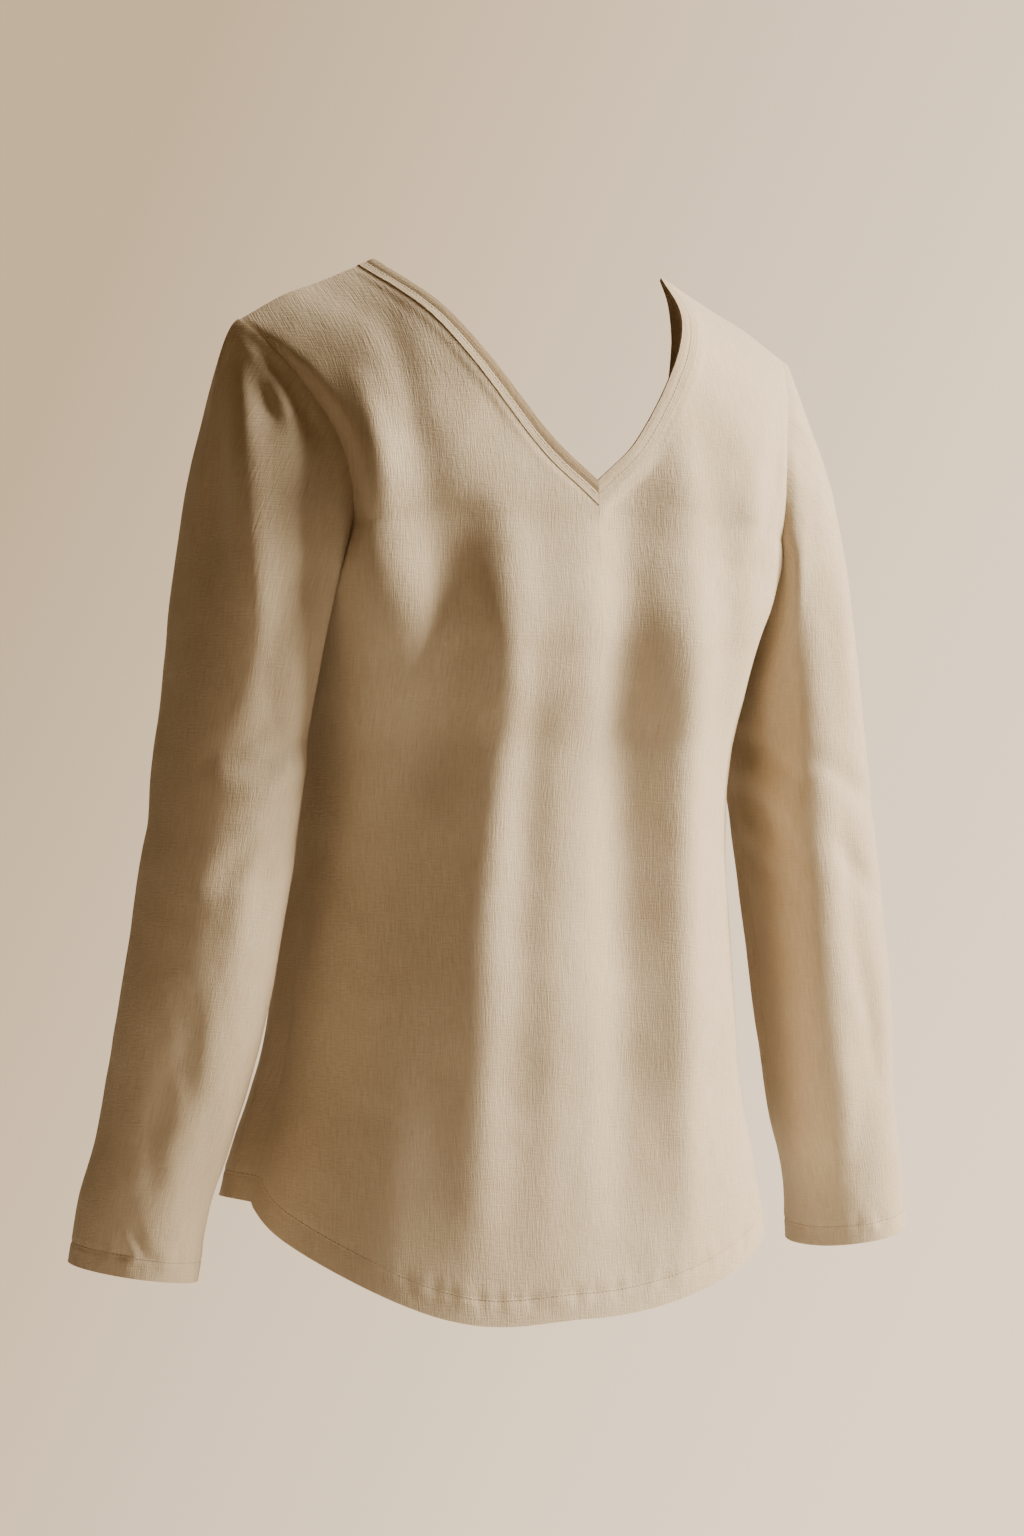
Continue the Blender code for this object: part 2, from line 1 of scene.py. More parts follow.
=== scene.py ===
"""The look of the blouse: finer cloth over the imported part, its materials, the light and the camera.

Lengths are in metres, apart from the tables of shapes. The front faces -Y, the wearer's left is
+X and up is +Z. Each cloth piece is worked out from much the same named sizes as
its solid, with more rows and columns, and then gets its finer creases, seams, hems and stitches.
"""

import math
from collections import namedtuple

import bpy
import numpy as np
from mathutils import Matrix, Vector, noise
from mathutils.kdtree import KDTree


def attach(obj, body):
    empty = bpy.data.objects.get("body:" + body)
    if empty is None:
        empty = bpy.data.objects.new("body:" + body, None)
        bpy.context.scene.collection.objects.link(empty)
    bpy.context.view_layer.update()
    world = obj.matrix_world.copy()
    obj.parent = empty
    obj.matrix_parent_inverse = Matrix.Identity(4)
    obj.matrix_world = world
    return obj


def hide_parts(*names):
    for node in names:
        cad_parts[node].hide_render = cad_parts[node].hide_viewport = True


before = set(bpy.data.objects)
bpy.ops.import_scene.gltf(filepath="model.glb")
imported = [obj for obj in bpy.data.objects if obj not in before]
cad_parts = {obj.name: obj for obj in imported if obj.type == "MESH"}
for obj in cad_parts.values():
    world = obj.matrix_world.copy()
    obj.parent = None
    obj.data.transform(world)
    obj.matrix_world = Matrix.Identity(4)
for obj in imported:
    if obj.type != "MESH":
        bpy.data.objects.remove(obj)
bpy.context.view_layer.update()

# Cloth and seams
CLOTH = 0.0015
HEM_CLOTH = 0.0026
BAND_CLOTH = 0.0024
SEAM_GAP = 0.00005
NECK_SEAM_GAP = 0.00008
BAND_WIDTH = 0.0110
BAND_PROUD = 0.0004

# Body lengths
CHEST_Z = -0.235
SIDE_HEM_Z = -0.566
FRONT_TAIL = 0.066
BACK_TAIL = 0.040
FRONT_TAIL_CURVE = 0.85
BACK_TAIL_CURVE = 2.2
# The front hem hangs this much lower on the right, most at half of this angle from the middle.
RIGHT_DIP = 0.010
RIGHT_DIP_ANGLE = 75
BODY_HEM = 0.0155
CUFF_HEM = 0.0120
HEM_STEP = 0.0020
SEAM_TURN = 0.75

# Small steps in which the slope of a table or of the wall is measured
NECK_STEP = 0.01
CHEST_STEP = 0.002
SLEEVE_STEP = 0.004

# The left shoulder hangs lower. The drop grows outwards and upwards between these places.
LEFT_SHOULDER_DROP = 0.007
DROP_FROM_X = 0.085
DROP_TO_X = 0.190
DROP_FROM_Z = -0.300
DROP_TO_Z = -0.060

# How many rows and columns the pieces have. HEM_ROWS lie in a turned hem, NECK_ROWS run from the
# neckline to the armhole, and UNDERARM_COLUMNS end at the bottom of the armhole.
# SOLID_SEAM_ROWS is how many rows the solid's armhole seam has.
HEM_ROWS = 6
BODY_ROWS = 84
CHEST_ROWS = 20
NECK_ROWS = 45
UNDERARM_COLUMNS = 20
FRONT_COLUMNS = 70
LAST_COLUMN = FRONT_COLUMNS + UNDERARM_COLUMNS
HEAD_ROWS = 40
SLEEVE_ROWS = 84
BAND_ROWS = 12
SOLID_SEAM_ROWS = 13

# Tables that rows_of makes are written in millimetres, apart from these columns, which hold
# fractions, angles in degrees and how square a section is.
PLAIN_COLUMNS = {"at", "lean", "slope", "turn", "turn_end", "square"}


def rows_of(kind, *rows):
    """A table with named columns, with its lengths turned into metres."""
    units = [1 if name in PLAIN_COLUMNS else 1000 for name in kind._fields]
    return tuple(kind(*(value / unit for value, unit in zip(row, units))) for row in rows)


# Level sections of the body, from below the hem to the chest line.
# front and back are the depths from mid_y, and square rounds the section: 2 is an ellipse.
Section = namedtuple("Section", "z half_width front back mid_y square")
BODY = rows_of(
    Section,
    (-645, 179, 121, 119, 29, 2.25),
    (-593, 171, 117, 114, 29, 2.30),
    (-550, 163, 113, 108, 27, 2.30),
    (-500, 150.5, 108, 100, 23, 2.30),
    (-457, 145, 104, 95, 17, 2.30),
    (-400, 140.2, 101, 91, 16, 2.30),
    (-350, 137.2, 100, 88, 15, 2.35),
    (-295, 138.5, 106, 87, 15, 2.45),
    (-260, 143, 118, 86, 15, 2.55),
    (-235, 148, 124, 85, 15, 2.60),
)

# Cut edges, as fractions along each edge. lean is how far the cloth leans from upright
# and slope how far it falls towards the arm, both in degrees.
NeckEdge = namedtuple("NeckEdge", "at x y z lean slope")
Edge = namedtuple("Edge", "at x y z")
FRONT_NECK = rows_of(
    NeckEdge,
    (0.00, 0, -101, -138, 5, 0),
    (0.17, 27.3, -97.5, -114, 8, 2),
    (0.47, 62.3, -82, -65, 25, 8),
    (0.68, 80.8, -57, -34, 46, 15),
    (1.00, 98, 0, -2, 86, 22),
)
BACK_NECK = rows_of(
    NeckEdge,
    (0.00, 0, 96, -174, 4, 0),
    (0.19, 56, 92.5, -166, 5, 2),
    (0.34, 95, 84, -142, 9, 6),
    (0.48, 118, 69, -110, 18, 12),
    (0.62, 127, 50, -74, 32, 17),
    (0.76, 122, 30, -40, 52, 22),
    (0.88, 111, 13, -16, 72, 23),
    (1.00, 98, 0, -2, 86, 22),
)
FRONT_ARMHOLE = rows_of(
    Edge,
    (0.00, 186, 0, -43),
    (0.14, 176, -22, -59),
    (0.32, 163, -50, -86),
    (0.51, 150, -72, -122),
    (0.69, 145, -74, -164),
    (0.86, 146.5, -44, -199),
    (1.00, 151, 12, -215),
)
BACK_ARMHOLE = rows_of(
    Edge,
    (0.00, 186, 0, -43),
    (0.14, 180, 27, -60),
    (0.32, 171, 54, -90),
    (0.51, 160, 72, -130),
    (0.69, 153, 70, -172),
    (0.86, 150, 48, -202),
    (1.00, 151, 12, -215),
)
# The ridge of the shoulder, from the neck point out to the sleeve.
Ridge = namedtuple("Ridge", "x z")
SHOULDER = rows_of(
    Ridge,
    (98, -2),
    (112, -8),
    (135, -18),
    (157, -26.5),
    (186, -43),
)

# The line across the upper chest, from the bottom of the neckline to where the armhole
# starts to turn under the arm. foot is the angle below its outer end on the chest line, and
# sag is how far the line dips between its ends.
YokeBase = namedtuple("YokeBase", "half_width depth square foot sag")
FRONT_YOKE = YokeBase(0.1890, 0.1165, 2.6, 60, 0.000)
BACK_YOKE = YokeBase(0.1816, 0.0815, 2.6, 70, 0.024)
YOKE_MID_Y = 0.015

# Level rings of the sleeve below its head.
Ring = namedtuple("Ring", "z x y half_x half_y square")
SLEEVE = rows_of(
    Ring,
    (-602, 244.5, 20, 38.6, 38.8, 2.0),
    (-560, 239, 16, 38.3, 38.5, 2.0),
    (-520, 227.5, 11, 40.5, 41, 2.0),
    (-450, 215, 1, 43, 44.5, 2.1),
    (-360, 201, -3, 43.5, 47, 2.2),
    (-285, 191, -2, 41.2, 51.2, 2.4),
)
HEAD_END_Z = -0.285
HEAD_OUT = 0.062
HEAD_DOWN = 0.230
CUFF_DIP = 0.0055
CUFF_DIP_FORWARD = 0.5
CUFF_DIP_HEIGHT = 0.080
SLEEVE_GAP = 0.0001
# How the head leaves the armhole: outwards, forwards and down, and how far that swells at the top
HEAD_LEAVE = (0.60, 0.40, 0.75)
HEAD_SWELL = (0.36, 0.36)

# Soft folds, as lines over a piece. depth is below 0 for a trough and above 0 for a ridge.
# On the body, across is the distance from the centre line and is below 0 on the wearer's right.
Fold = namedtuple("Fold", "across z across_end z_end width depth")
FRONT_FOLDS = rows_of(
    Fold,
    (-86, -165, -90, -310, 14, -3.5),
    (-54, -180, -66, -560, 16, 4),
    (18, -200, 24, -600, 18, -4.2),
    (66, -240, 72, -600, 15, 3.2),
    (-120, -180, -118, -245, 23, 4.2),
    (106, -185, 102, -235, 26, 3.5),
    (-137, -85, -132, -150, 8, 2.5),
    (150, -85, 136, -150, 10, -3),
    (-114, -45, -112, -130, 9, -1.8),
    (-105, -300, -118, -470, 14, -3),
)
BACK_FOLDS = rows_of(
    Fold,
    (-62, -300, -52, -490, 17, -3.5),
    (58, -320, 66, -510, 18, -4),
    (4, -340, -6, -530, 16, 3),
    (-112, -260, -104, -450, 13, -3),
    (116, -240, 106, -420, 12, -2.8),
    (-148, -90, -138, -190, 10, -2.5),
    (146, -100, 136, -200, 10, -2.5),
    (-142, -420, -198, -880, 30, 11),
    (142, -430, 198, -880, 30, 7),
)
# On a sleeve, turn is the angle round it in degrees: 0 outwards, 90 forwards, 180 inwards.
SleeveFold = namedtuple("SleeveFold", "turn z turn_end z_end width depth")
RIGHT_SLEEVE_FOLDS = rows_of(
    SleeveFold,
    (52, -58, 70, -105, 7, -3),
    (30, -80, 52, -120, 8, -2.5),
    (95, -285, 60, -300, 9, -3),
    (105, -345, 70, -372, 9, -3),
    (60, -440, 64, -510, 9, -2.2),
    (290, -300, 330, -340, 10, -3),
    (275, -370, 320, -400, 10, -2.8),
)
LEFT_SLEEVE_FOLDS = rows_of(
    SleeveFold,
    (60, -70, 78, -120, 8, -2.8),
    (115, -300, 50, -330, 10, -3.2),
    (105, -350, 60, -385, 10, -2.6),
    (85, -430, 70, -500, 10, -2.4),
    (280, -310, 325, -345, 10, -3),
    (270, -385, 315, -410, 10, -2.6),
)
# Folds fade out within a margin of the seams. On a sleeve they fade out within FOLD_ROWS of the
# solid's rows from its seam and towards its inner side, and degrees round it count as lengths at
# FOLD_RADIUS.
FOLD_MARGIN = 0.018
FOLD_RADIUS = 0.045
FOLD_ROWS = 2.0
FOLD_INNER = 0.35
# How strength runs along a fold and along a crease: a part of half a wave, from a start over a
# span, raised to a power
FOLD_TAPER = (0.12, 0.76, 0.8)
CREASE_TAPER = (0.02, 0.96, 0.7)

# Finer creases, seen from three quarters in front or behind. across is the distance along a level
# line that is turned by TURN about the middle, and each crease runs through three places.
# depth is below 0 for a trough and above 0 for a ridge.
TURN = math.radians(27)
Crease = namedtuple("Crease", "across z across_mid z_mid across_end z_end width depth")

FRONT_CREASES = rows_of(
    Crease,
    (-86, -110, -85, -200, -90, -340, 20, 8.4),
    (-58, -100, -46, -180, -46, -300, 13, -2),
    (-10, -140, -8, -260, -18, -380, 13, 3),
    (-20, -260, -26, -440, -30, -620, 17, 3),
    (-42, -170, -42, -230, -48, -320, 13, -3.4),
    (64, -80, 64, -310, 70, -570, 16, -5.4),
    (100, -90, 100, -310, 108, -570, 15, 5.4),
    (-106, -200, -112, -290, -122, -380, 11, -1.6),
    (-96, -350, -104, -440, -98, -580, 15, -2),
    (18, -240, 20, -360, 16, -600, 15, 2.4),
    (126, -160, 130, -220, 124, -340, 12, -3),
    (162, -95, 154, -130, 152, -165, 7, -2.8),
    (176, -100, 166, -150, 158, -205, 6, -2.2),
    (100, -80, 112, -130, 108, -190, 11, -1.4),
    (134, -90, 140, -140, 134, -200, 10, 1.6),
)
RIGHT_SLEEVE_CREASES = rows_of(
    Crease,
    (-162, -46, -146, -64, -140, -80, 5, -2.6),
    (-158, -68, -147, -88, -139, -110, 5.2, -1.4),
    (-150, -74, -138, -92, -131, -108, 5.6, 2.2),
    (-160, -70, -156, -140, -150, -250, 12.5, 10.4),
    (-120, -85, -118, -150, -116, -230, 12, -6),
    (-176, -110, -180, -170, -188, -250, 8, -1.8),
    (-138, -200, -146, -250, -140, -300, 8, -1.6),
    (-120, -285, -146, -305, -172, -308, 6.5, -2.4),
    (-124, -305, -146, -320, -166, -326, 6, 1.6),
    (-128, -345, -150, -368, -176, -376, 6.5, -2.2),
    (-150, -330, -160, -380, -168, -440, 8, 1.4),
    (-186, -446, -190, -476, -192, -506, 6, -1.8),
    (-205, -480, -212, -520, -214, -560, 7, -1.6),
    (-168, -500, -174, -540, -186, -575, 6, 1.4),
    (-224, -570, -220, -582, -214, -592, 3.5, -1.4),
    (-234, -580, -230, -588, -224, -594, 3, -1.2),
)
LEFT_SLEEVE_CREASES = rows_of(
    Crease,
    (176, -100, 182, -150, 176, -210, 7, -2),
    (188, -90, 198, -160, 204, -250, 8.5, 1.8),
    (160, -220, 166, -270, 154, -320, 7, -2),
    (134, -286, 154, -300, 180, -322, 6.5, -2.6),
    (134, -304, 152, -320, 176, -342, 6, 1.8),
    (128, -318, 146, -338, 172, -362, 7, -2.4),
    (130, -350, 150, -370, 180, -386, 7, -1.6),
    (196, -330, 204, -380, 210, -450, 8, -1.6),
    (176, -250, 186, -430, 194, -600, 20, 12),
    (136, -250, 144, -430, 156, -590, 15, -6),
    (196, -460, 204, -510, 204, -560, 7, 1.4),
    (182, -500, 188, -540, 196, -580, 6, -1.4),
)
# Behind, the creases are like those in front, and lie unevenly.
BACK_CREASES = rows_of(
    Crease,
    (-120, -110, -104, -190, -110, -280, 9, -2.4),
    (-86, -150, -76, -240, -84, -360, 10, -2),
    (-30, -220, -22, -330, -34, -500, 12, -2.8),
    (14, -250, 22, -370, 12, -560, 11, 2),
    (56, -210, 64, -320, 54, -460, 11, -2.4),
    (100, -140, 92, -230, 102, -350, 9, -2.2),
    (118, -300, 122, -400, 132, -520, 10, -2.2),
    (-72, -400, -84, -480, -78, -590, 12, -2),
)
BACK_SLEEVE_CREASES = rows_of(
    Crease,
    (150, -100, 142, -150, 150, -220, 8, -2.2),
    (172, -110, 178, -190, 170, -280, 8, 1.8),
    (130, -290, 154, -310, 180, -318, 6.8, -2.4),
    (136, -330, 158, -352, 182, -356, 6.4, -2.2),
    (150, -390, 172, -404, 192, -412, 6.8, -1.8),
    (176, -450, 182, -500, 190, -560, 7, -1.8),
)
# Beside each crease the cloth rises the other way, by a share of its depth at so many widths from
# its line. Creases fade out near a seam and where the cloth turns away from the view.
CREASE_LIP = 0.12
CREASE_LIP_AT = 1.7
CREASE_EDGE = 0.010
CREASE_TURNED_AWAY = 0.25

# Slow and quick unevenness of worn cloth, and how far each seed moves it
SWAY_SIZE = 0.055
SWAY_DEPTH = 0.0012
RUMPLE_SIZE = 0.018
RUMPLE_DEPTH = 0.00035
RUMPLE_SEED = 9
SEED_SHIFT = (3.7, 1.3, 5.1)
FRONT_SEED = 1
BACK_SEED = 3
SLEEVE_SEEDS = {-1: 4, 1: 5}

# Seams and hems: a soft roll beside each seam, and puckers along each row of stitches.
# SLEEVE_RISE lifts a sleeve's edge at the armhole, by side, so that it covers the panel's edge.
SEAM_ROLL = 0.0003
SEAM_ROLL_AT = 0.0045
SEAM_ROLL_WIDTH = 0.0025
SLEEVE_RISE = {-1: 0.0007, 1: 0.0}
PUCKER_DEPTH = 0.0012
PUCKER_SIZE = 0.0075
PUCKER_REACH = 0.0070
STITCH_SINK = 0.0005
STITCH_SINK_WIDTH = 0.0012
STITCH_LENGTH = 0.0028
STITCH_WIDTH = 0.0007
STITCH_COVER = 0.66
# How much of the thread's colour shows
STITCH_TONE = 0.35

# The soft groove where the cloth sinks at each armhole, by side: its depth, how wide it is on the
# body and on the sleeve, and the heights between which it starts and ends. It sinks towards the
# middle and backwards, by the two parts of GROOVE_INWARDS.
Groove = namedtuple("Groove", "depth body_width sleeve_width top full low end")
GROOVES = {
    -1: Groove(0.0105, 0.0050, 0.0230, -0.045, -0.095, -0.200, -0.245),
    1: Groove(0.0045, 0.0090, 0.0120, -0.060, -0.100, -0.150, -0.200),
}
GROOVE_INWARDS = (0.30, 0.95)
GROOVE_POINTS = 80

# Cloth colours as linear values, from deep folds to raised nap
CLOTH_DARK = (0.440, 0.345, 0.235, 1.0)
CLOTH_LIGHT = (0.660, 0.560, 0.435, 1.0)
CLOTH_WARM = (0.540, 0.420, 0.290, 1.0)
THREAD = (0.430, 0.330, 0.220, 1.0)
# The inner side of the cloth gets this colour as painted shade, as that side lies in shadow.
INSIDE_SHADE = (0.280, 0.180, 0.090, 1.0)
# Layers of noise in the cloth: width across the grain, length along it, and detail.
# They are the nap, the fibres, the weft and a slow change of tone, and each seed moves them.
LAYERS = (
    (0.0011, 0.0170, 3.0),
    (0.00045, 0.0060, 2.0),
    (0.0060, 0.0011, 2.0),
    (0.0300, 0.0480, 3.0),
)
LAYER_SEED = 2
GRAIN_SHIFT = (7.3, 3.1, 1.0)
# Shares of the nap, the fibres and the weft in the tone, and with the stitches in the relief
TONE_SHARES = (0.50, 0.30, 0.20)
RELIEF_SHARES = (0.5, 0.6, 0.45, 0.8)
RELIEF_STEEPNESS = {"Strength": 0.75, "Distance": 0.0007}
TONE_CONTRAST = 2.3
WARM_SHARE = 0.45
# How far the inner side is painted towards its painted shade
INSIDE_SHADE_SHARE = 0.75
# Roughness without fibres, and how much rougher they make it
SMOOTHEST = 0.82
ROUGHER = 0.12
CLOTH_SURFACE = {
    "Specular IOR Level": 0.25,
    "Sheen Weight": 0.35,
    "Sheen Roughness": 0.45,
    "Sheen Tint": (1.0, 0.88, 0.70, 1.0),
}

# The neckband: a roll along its folded edge, a groove between its two strips, and its stitches
BAND_ROLL = 0.0003
BAND_ROLL_AT = 0.0028
BAND_ROLL_WIDTH = 0.0022
BAND_GROOVE = 0.0002
BAND_GROOVE_AT = 0.0060
BAND_GROOVE_WIDTH = 0.0009
BAND_LENGTH = 0.20
BAND_STITCHES = 0.0066
# How much of the cloth's own colour the strip along the neckline keeps beside the painted shade below,
# which stands for the shade on the strip that turns away from the light. The far band keeps more, as it
# faces the light.
BAND_SHADE_TINT = 0.20
FAR_BAND_SHADE_TINT = 0.80
BAND_PAINTED_SHADE = (0.250, 0.175, 0.100, 1.0)

# Edges turn sharply in the shading above this many degrees
SHARP_ANGLE = 50

# What each piece was cut from, as width, length and flat area, how far its stitches are from its
# edge, and how much of the cloth's own colour it keeps beside the neckband's painted shade
Cut = namedtuple("Cut", "node slot width length area stitches tint")
CUTS = (
    Cut("front_right", "front_right_cloth", 0.27, 0.64, 0.115, BODY_HEM, 1.0),
    Cut("front_left", "front_left_cloth", 0.27, 0.64, 0.115, BODY_HEM, 1.0),
    Cut("back", "back_cloth", 0.50, 0.60, 0.180, BODY_HEM, 1.0),
    Cut("sleeve_right", "sleeve_right_cloth", 0.36, 0.60, 0.150, CUFF_HEM, 1.0),
    Cut("sleeve_left", "sleeve_left_cloth", 0.36, 0.60, 0.150, CUFF_HEM, 1.0),
    Cut("neckband_front_right", "band_right_cloth", 0.224, 0.011, None, BAND_STITCHES, BAND_SHADE_TINT),
    Cut("neckband_front_left", "band_left_cloth", 0.224, 0.011, None, BAND_STITCHES, FAR_BAND_SHADE_TINT),
    Cut("neckband_back", "band_back_cloth", 0.58, 0.011, None, BAND_STITCHES, BAND_SHADE_TINT),
)

# Camera, as the photo's scale and middle in its own pixels
PHOTO_WIDTH = 1024
PHOTO_HEIGHT = 1536
MIDDLE_X = 520
MIDDLE_Y = 790
SCALE_AT_DISTANCE = 1640
CAMERA_DISTANCE = 2.5
CAMERA_Z = -0.32
SENSOR = 36.0

# Stage: each light's direction, distance, size, power and colour
LIGHTS = (
    ("key", (0.89, -0.40, 0.52), 3.2, 1.3, 450.0, (1.0, 0.90, 0.72)),
    ("fill", (-0.85, -0.55, 0.25), 3.2, 2.2, 9.0, (1.0, 0.72, 0.42)),
    ("behind", (0.55, 1.00, 0.60), 3.2, 2.0, 45.0, (1.0, 0.92, 0.80)),
)
# The backdrop runs from dark to light along a level line and downwards: painted light, seen only by the
# camera
WALL_DARK = (0.86, 0.62, 0.37, 1.0)
WALL_LIGHT = (1.95, 1.52, 1.08, 1.0)
WALL_DOWNWARDS = 0.45
WALL_CONTRAST = 3.2
BOUNCE = (0.52, 0.29, 0.10, 1.0)
BOUNCE_STRENGTH = 0.15
FLOOR_COLOUR = (0.74, 0.69, 0.62, 1.0)
FLOOR_UNEVENNESS = 3.0
FLOOR_DARKER = 0.96
FLOOR_ROUGHNESS = 0.9
FLOOR_Z = -1.02
FLOOR_RADIUS = 1.2
FLOOR_SIDES = 96


def ease(value):
    """Smooth step from 0 to 1, for one value or many."""
    value = np.clip(value, 0.0, 1.0)
    return value * value * (3.0 - 2.0 * value)


def bump(place, middle, width):
    """1 in the middle of a soft bump and 0 away from it, for one value or many."""
    return np.exp(-(((place - middle) / width) ** 2))


def along(table, at):
    """The row of a table at a value of its first column, on a smooth curve through its rows."""
    keys = [row[0] for row in table]
    at = min(max(at, keys[0]), keys[-1])
    last = len(table) - 1
    k = min(last - 1, max(i for i in range(len(keys)) if keys[i] <= at))
    span = keys[k + 1] - keys[k]
    t = (at - keys[k]) / span

    def rate(i, column):
        low, high = max(0, i - 1), min(last, i + 1)
        return (table[high][column] - table[low][column]) / (keys[high] - keys[low])

    values = [at]
    for column in range(1, len(table[0])):
        start, end = table[k][column], table[k + 1][column]
        values.append(
            start * (1 + 2 * t) * (1 - t) ** 2
            + end * t * t * (3 - 2 * t)
            + rate(k, column) * span * t * (1 - t) ** 2
            - rate(k + 1, column) * span * t * t * (1 - t)
        )
    return type(table[0])(*values)


def sweep(start, leave, end, arrive, t):
    """A point on the smooth curve that leaves one point and arrives at another."""
    return (
        start * ((1 + 2 * t) * (1 - t) ** 2)
        + leave * (t * (1 - t) ** 2)
        + end * (t * t * (3 - 2 * t))
        - arrive * (t * t * (1 - t))
    )


def rounded(angle, half_a, half_b, square):
    """A point on a rounded section, with half_a across and half_b along the angle's zero."""
    s, c = math.sin(angle), math.cos(angle)
    reach = (abs(s / half_a) ** square + abs(c / half_b) ** square) ** (-1.0 / square)
    return reach * s, reach * c


def body_point(angle, z, facing):
    """A point of the body at a level. angle is 0 at the centre of the front or back."""
    row = along(BODY, z)
    depth = row.front if facing < 0 else row.back
    x, out = rounded(angle, row.half_width, depth, row.square)
    return Vector((x, row.mid_y + facing * out, z))


def hem_z(angle, facing, side):
    """Height of the hem, which dips to a tail at the front and at the back, fuller on the right."""
    towards_middle = max(0.0, math.cos(angle))
    if facing < 0:
        dip = math.sin(math.pi * min(1.0, angle / math.radians(RIGHT_DIP_ANGLE))) ** 2
        dip *= RIGHT_DIP if side < 0 else 0.0
        return SIDE_HEM_Z - FRONT_TAIL * towards_middle**FRONT_TAIL_CURVE - dip
    return SIDE_HEM_Z - BACK_TAIL * towards_middle**BACK_TAIL_CURVE


def place(row):
    """The place of a row of an edge."""
    return Vector((row.x, row.y, row.z))


def below_neck(at, distance, facing):
    """The point on the cloth at a distance outside the neckline, and the way it faces there."""
    table = FRONT_NECK if facing < 0 else BACK_NECK
    row = along(table, at)
    lean, slope = math.radians(row.lean), math.radians(row.slope)
    up = Vector((0.0, -facing * math.sin(lean), math.cos(lean)))
    side = Vector((math.cos(slope), 0.0, -math.sin(slope)))
    outside = (side.cross(up) * -facing).normalized()
    run = place(along(table, at + NECK_STEP)) - place(along(table, at - NECK_STEP))
    run.normalize()
    if at <= 0.0:
        return place(row) - up * (distance / run.dot(side)), outside
    away = (side * run.dot(up) - up * run.dot(side)).normalized()
    away = away.lerp(side, ease((at - SEAM_TURN) / (1.0 - SEAM_TURN))).normalized()
    point = place(row) + away * distance
    if at >= 1.0:
        point.y = facing * SEAM_GAP / 2
        outside.y = 0.0
        outside.normalize()
    return point, outside


def armhole_point(at, facing):
    """A point of the armhole seam, from the shoulder at 0 to under the arm at 1."""
    return place(along(FRONT_ARMHOLE if facing < 0 else BACK_ARMHOLE, at))


def yoke_base(facing):
    """Points across the upper chest, from the bottom of the neckline to the armhole."""
    yoke = FRONT_YOKE if facing < 0 else BACK_YOKE
    start, _ = below_neck(0.0, BAND_WIDTH + NECK_SEAM_GAP, facing)
    end = armhole_point(NECK_ROWS / (NECK_ROWS + UNDERARM_COLUMNS), facing)
    end_angle = math.atan2(end.x, abs(end.y - YOKE_MID_Y))
    points = []
    for k in range(FRONT_COLUMNS + 1):
        t = k / FRONT_COLUMNS
        x, out = rounded(end_angle * t, yoke.half_width, yoke.depth, yoke.square)
        height = start.z + (end.z - start.z) * t - yoke.sag * math.sin(math.pi * t)
        points.append(Vector((x, YOKE_MID_Y + facing * out, height)))
    first, last = start - points[0], end - points[-1]
    for k, point in enumerate(points):
        t = k / FRONT_COLUMNS
        point += first * (1.0 - t) + last * t
    return points


def lower_rows(facing, side):
    """Rows of a half panel from the hem to the upper chest and the underarm."""
    yoke = FRONT_YOKE if facing < 0 else BACK_YOKE
    tops = yoke_base(facing)
    angles = [math.radians(yoke.foot) * k / FRONT_COLUMNS for k in range(FRONT_COLUMNS + 1)]
    for k in range(1, UNDERARM_COLUMNS + 1):
        t = k / UNDERARM_COLUMNS
        angles.append(math.radians(yoke.foot + (90 - yoke.foot) * t))
        tops.append(armhole_point((NECK_ROWS + k) / (NECK_ROWS + UNDERARM_COLUMNS), facing))
    rows = [{} for _ in range(HEM_ROWS + BODY_ROWS + CHEST_ROWS + 2)]
    for column, (angle, top) in enumerate(zip(angles, tops)):
        hem = hem_z(angle, facing, side)
        heights = [hem + BODY_HEM * k / HEM_ROWS for k in range(HEM_ROWS + 1)]
        heights.append(hem + BODY_HEM + HEM_STEP)
        start = heights[-1]
        heights += [start + (CHEST_Z - start) * k / BODY_ROWS for k in range(1, BODY_ROWS + 1)]
        for i, z in enumerate(heights):
            rows[i][column] = body_point(angle, z, facing)
        chest = rows[len(heights) - 1][column]
        leave = (chest - body_point(angle, CHEST_Z - CHEST_STEP, facing)).normalized()
        reach = (top - chest).length
        for k in range(1, CHEST_ROWS + 1):
            point = sweep(chest, leave * reach, top, Vector((0, 0, reach)), k / CHEST_ROWS)
            rows[len(heights) + k - 1][column] = point
    for row in rows:
        row[len(angles) - 1].y += facing * SEAM_GAP / 2
    return rows


def upper_rows(base, facing):
    """Rows of a half panel from the upper chest to the shoulder, blended between its four edges."""
    drop = BAND_WIDTH + NECK_SEAM_GAP
    neck = [below_neck(i / NECK_ROWS, drop, facing)[0] for i in range(NECK_ROWS + 1)]
    parts = NECK_ROWS + UNDERARM_COLUMNS
    arm = [armhole_point((NECK_ROWS - i) / parts, facing) for i in range(NECK_ROWS + 1)]
    arm[-1].y = facing * SEAM_GAP / 2
    shoulder = []
    for k in range(FRONT_COLUMNS + 1):
        t = k / FRONT_COLUMNS
        x = neck[-1].x + (arm[-1].x - neck[-1].x) * t
        shoulder.append(Vector((x, neck[-1].y, along(SHOULDER, x).z)))
    shoulder[0], shoulder[-1] = neck[-1], arm[-1]
    rows = []
    for i in range(1, NECK_ROWS + 1):
        v = i / NECK_ROWS
        row = {}
        for k in range(FRONT_COLUMNS + 1):
            u = k / FRONT_COLUMNS
            across = neck[i] * (1 - u) + arm[i] * u
            upright = base[k] * (1 - v) + shoulder[k] * v
            corners = (base[0] * (1 - u) + base[-1] * u) * (1 - v)
            corners += (shoulder[0] * (1 - u) + shoulder[-1] * u) * v
            row[k] = across + upright - corners
        rows.append(row)
    return rows


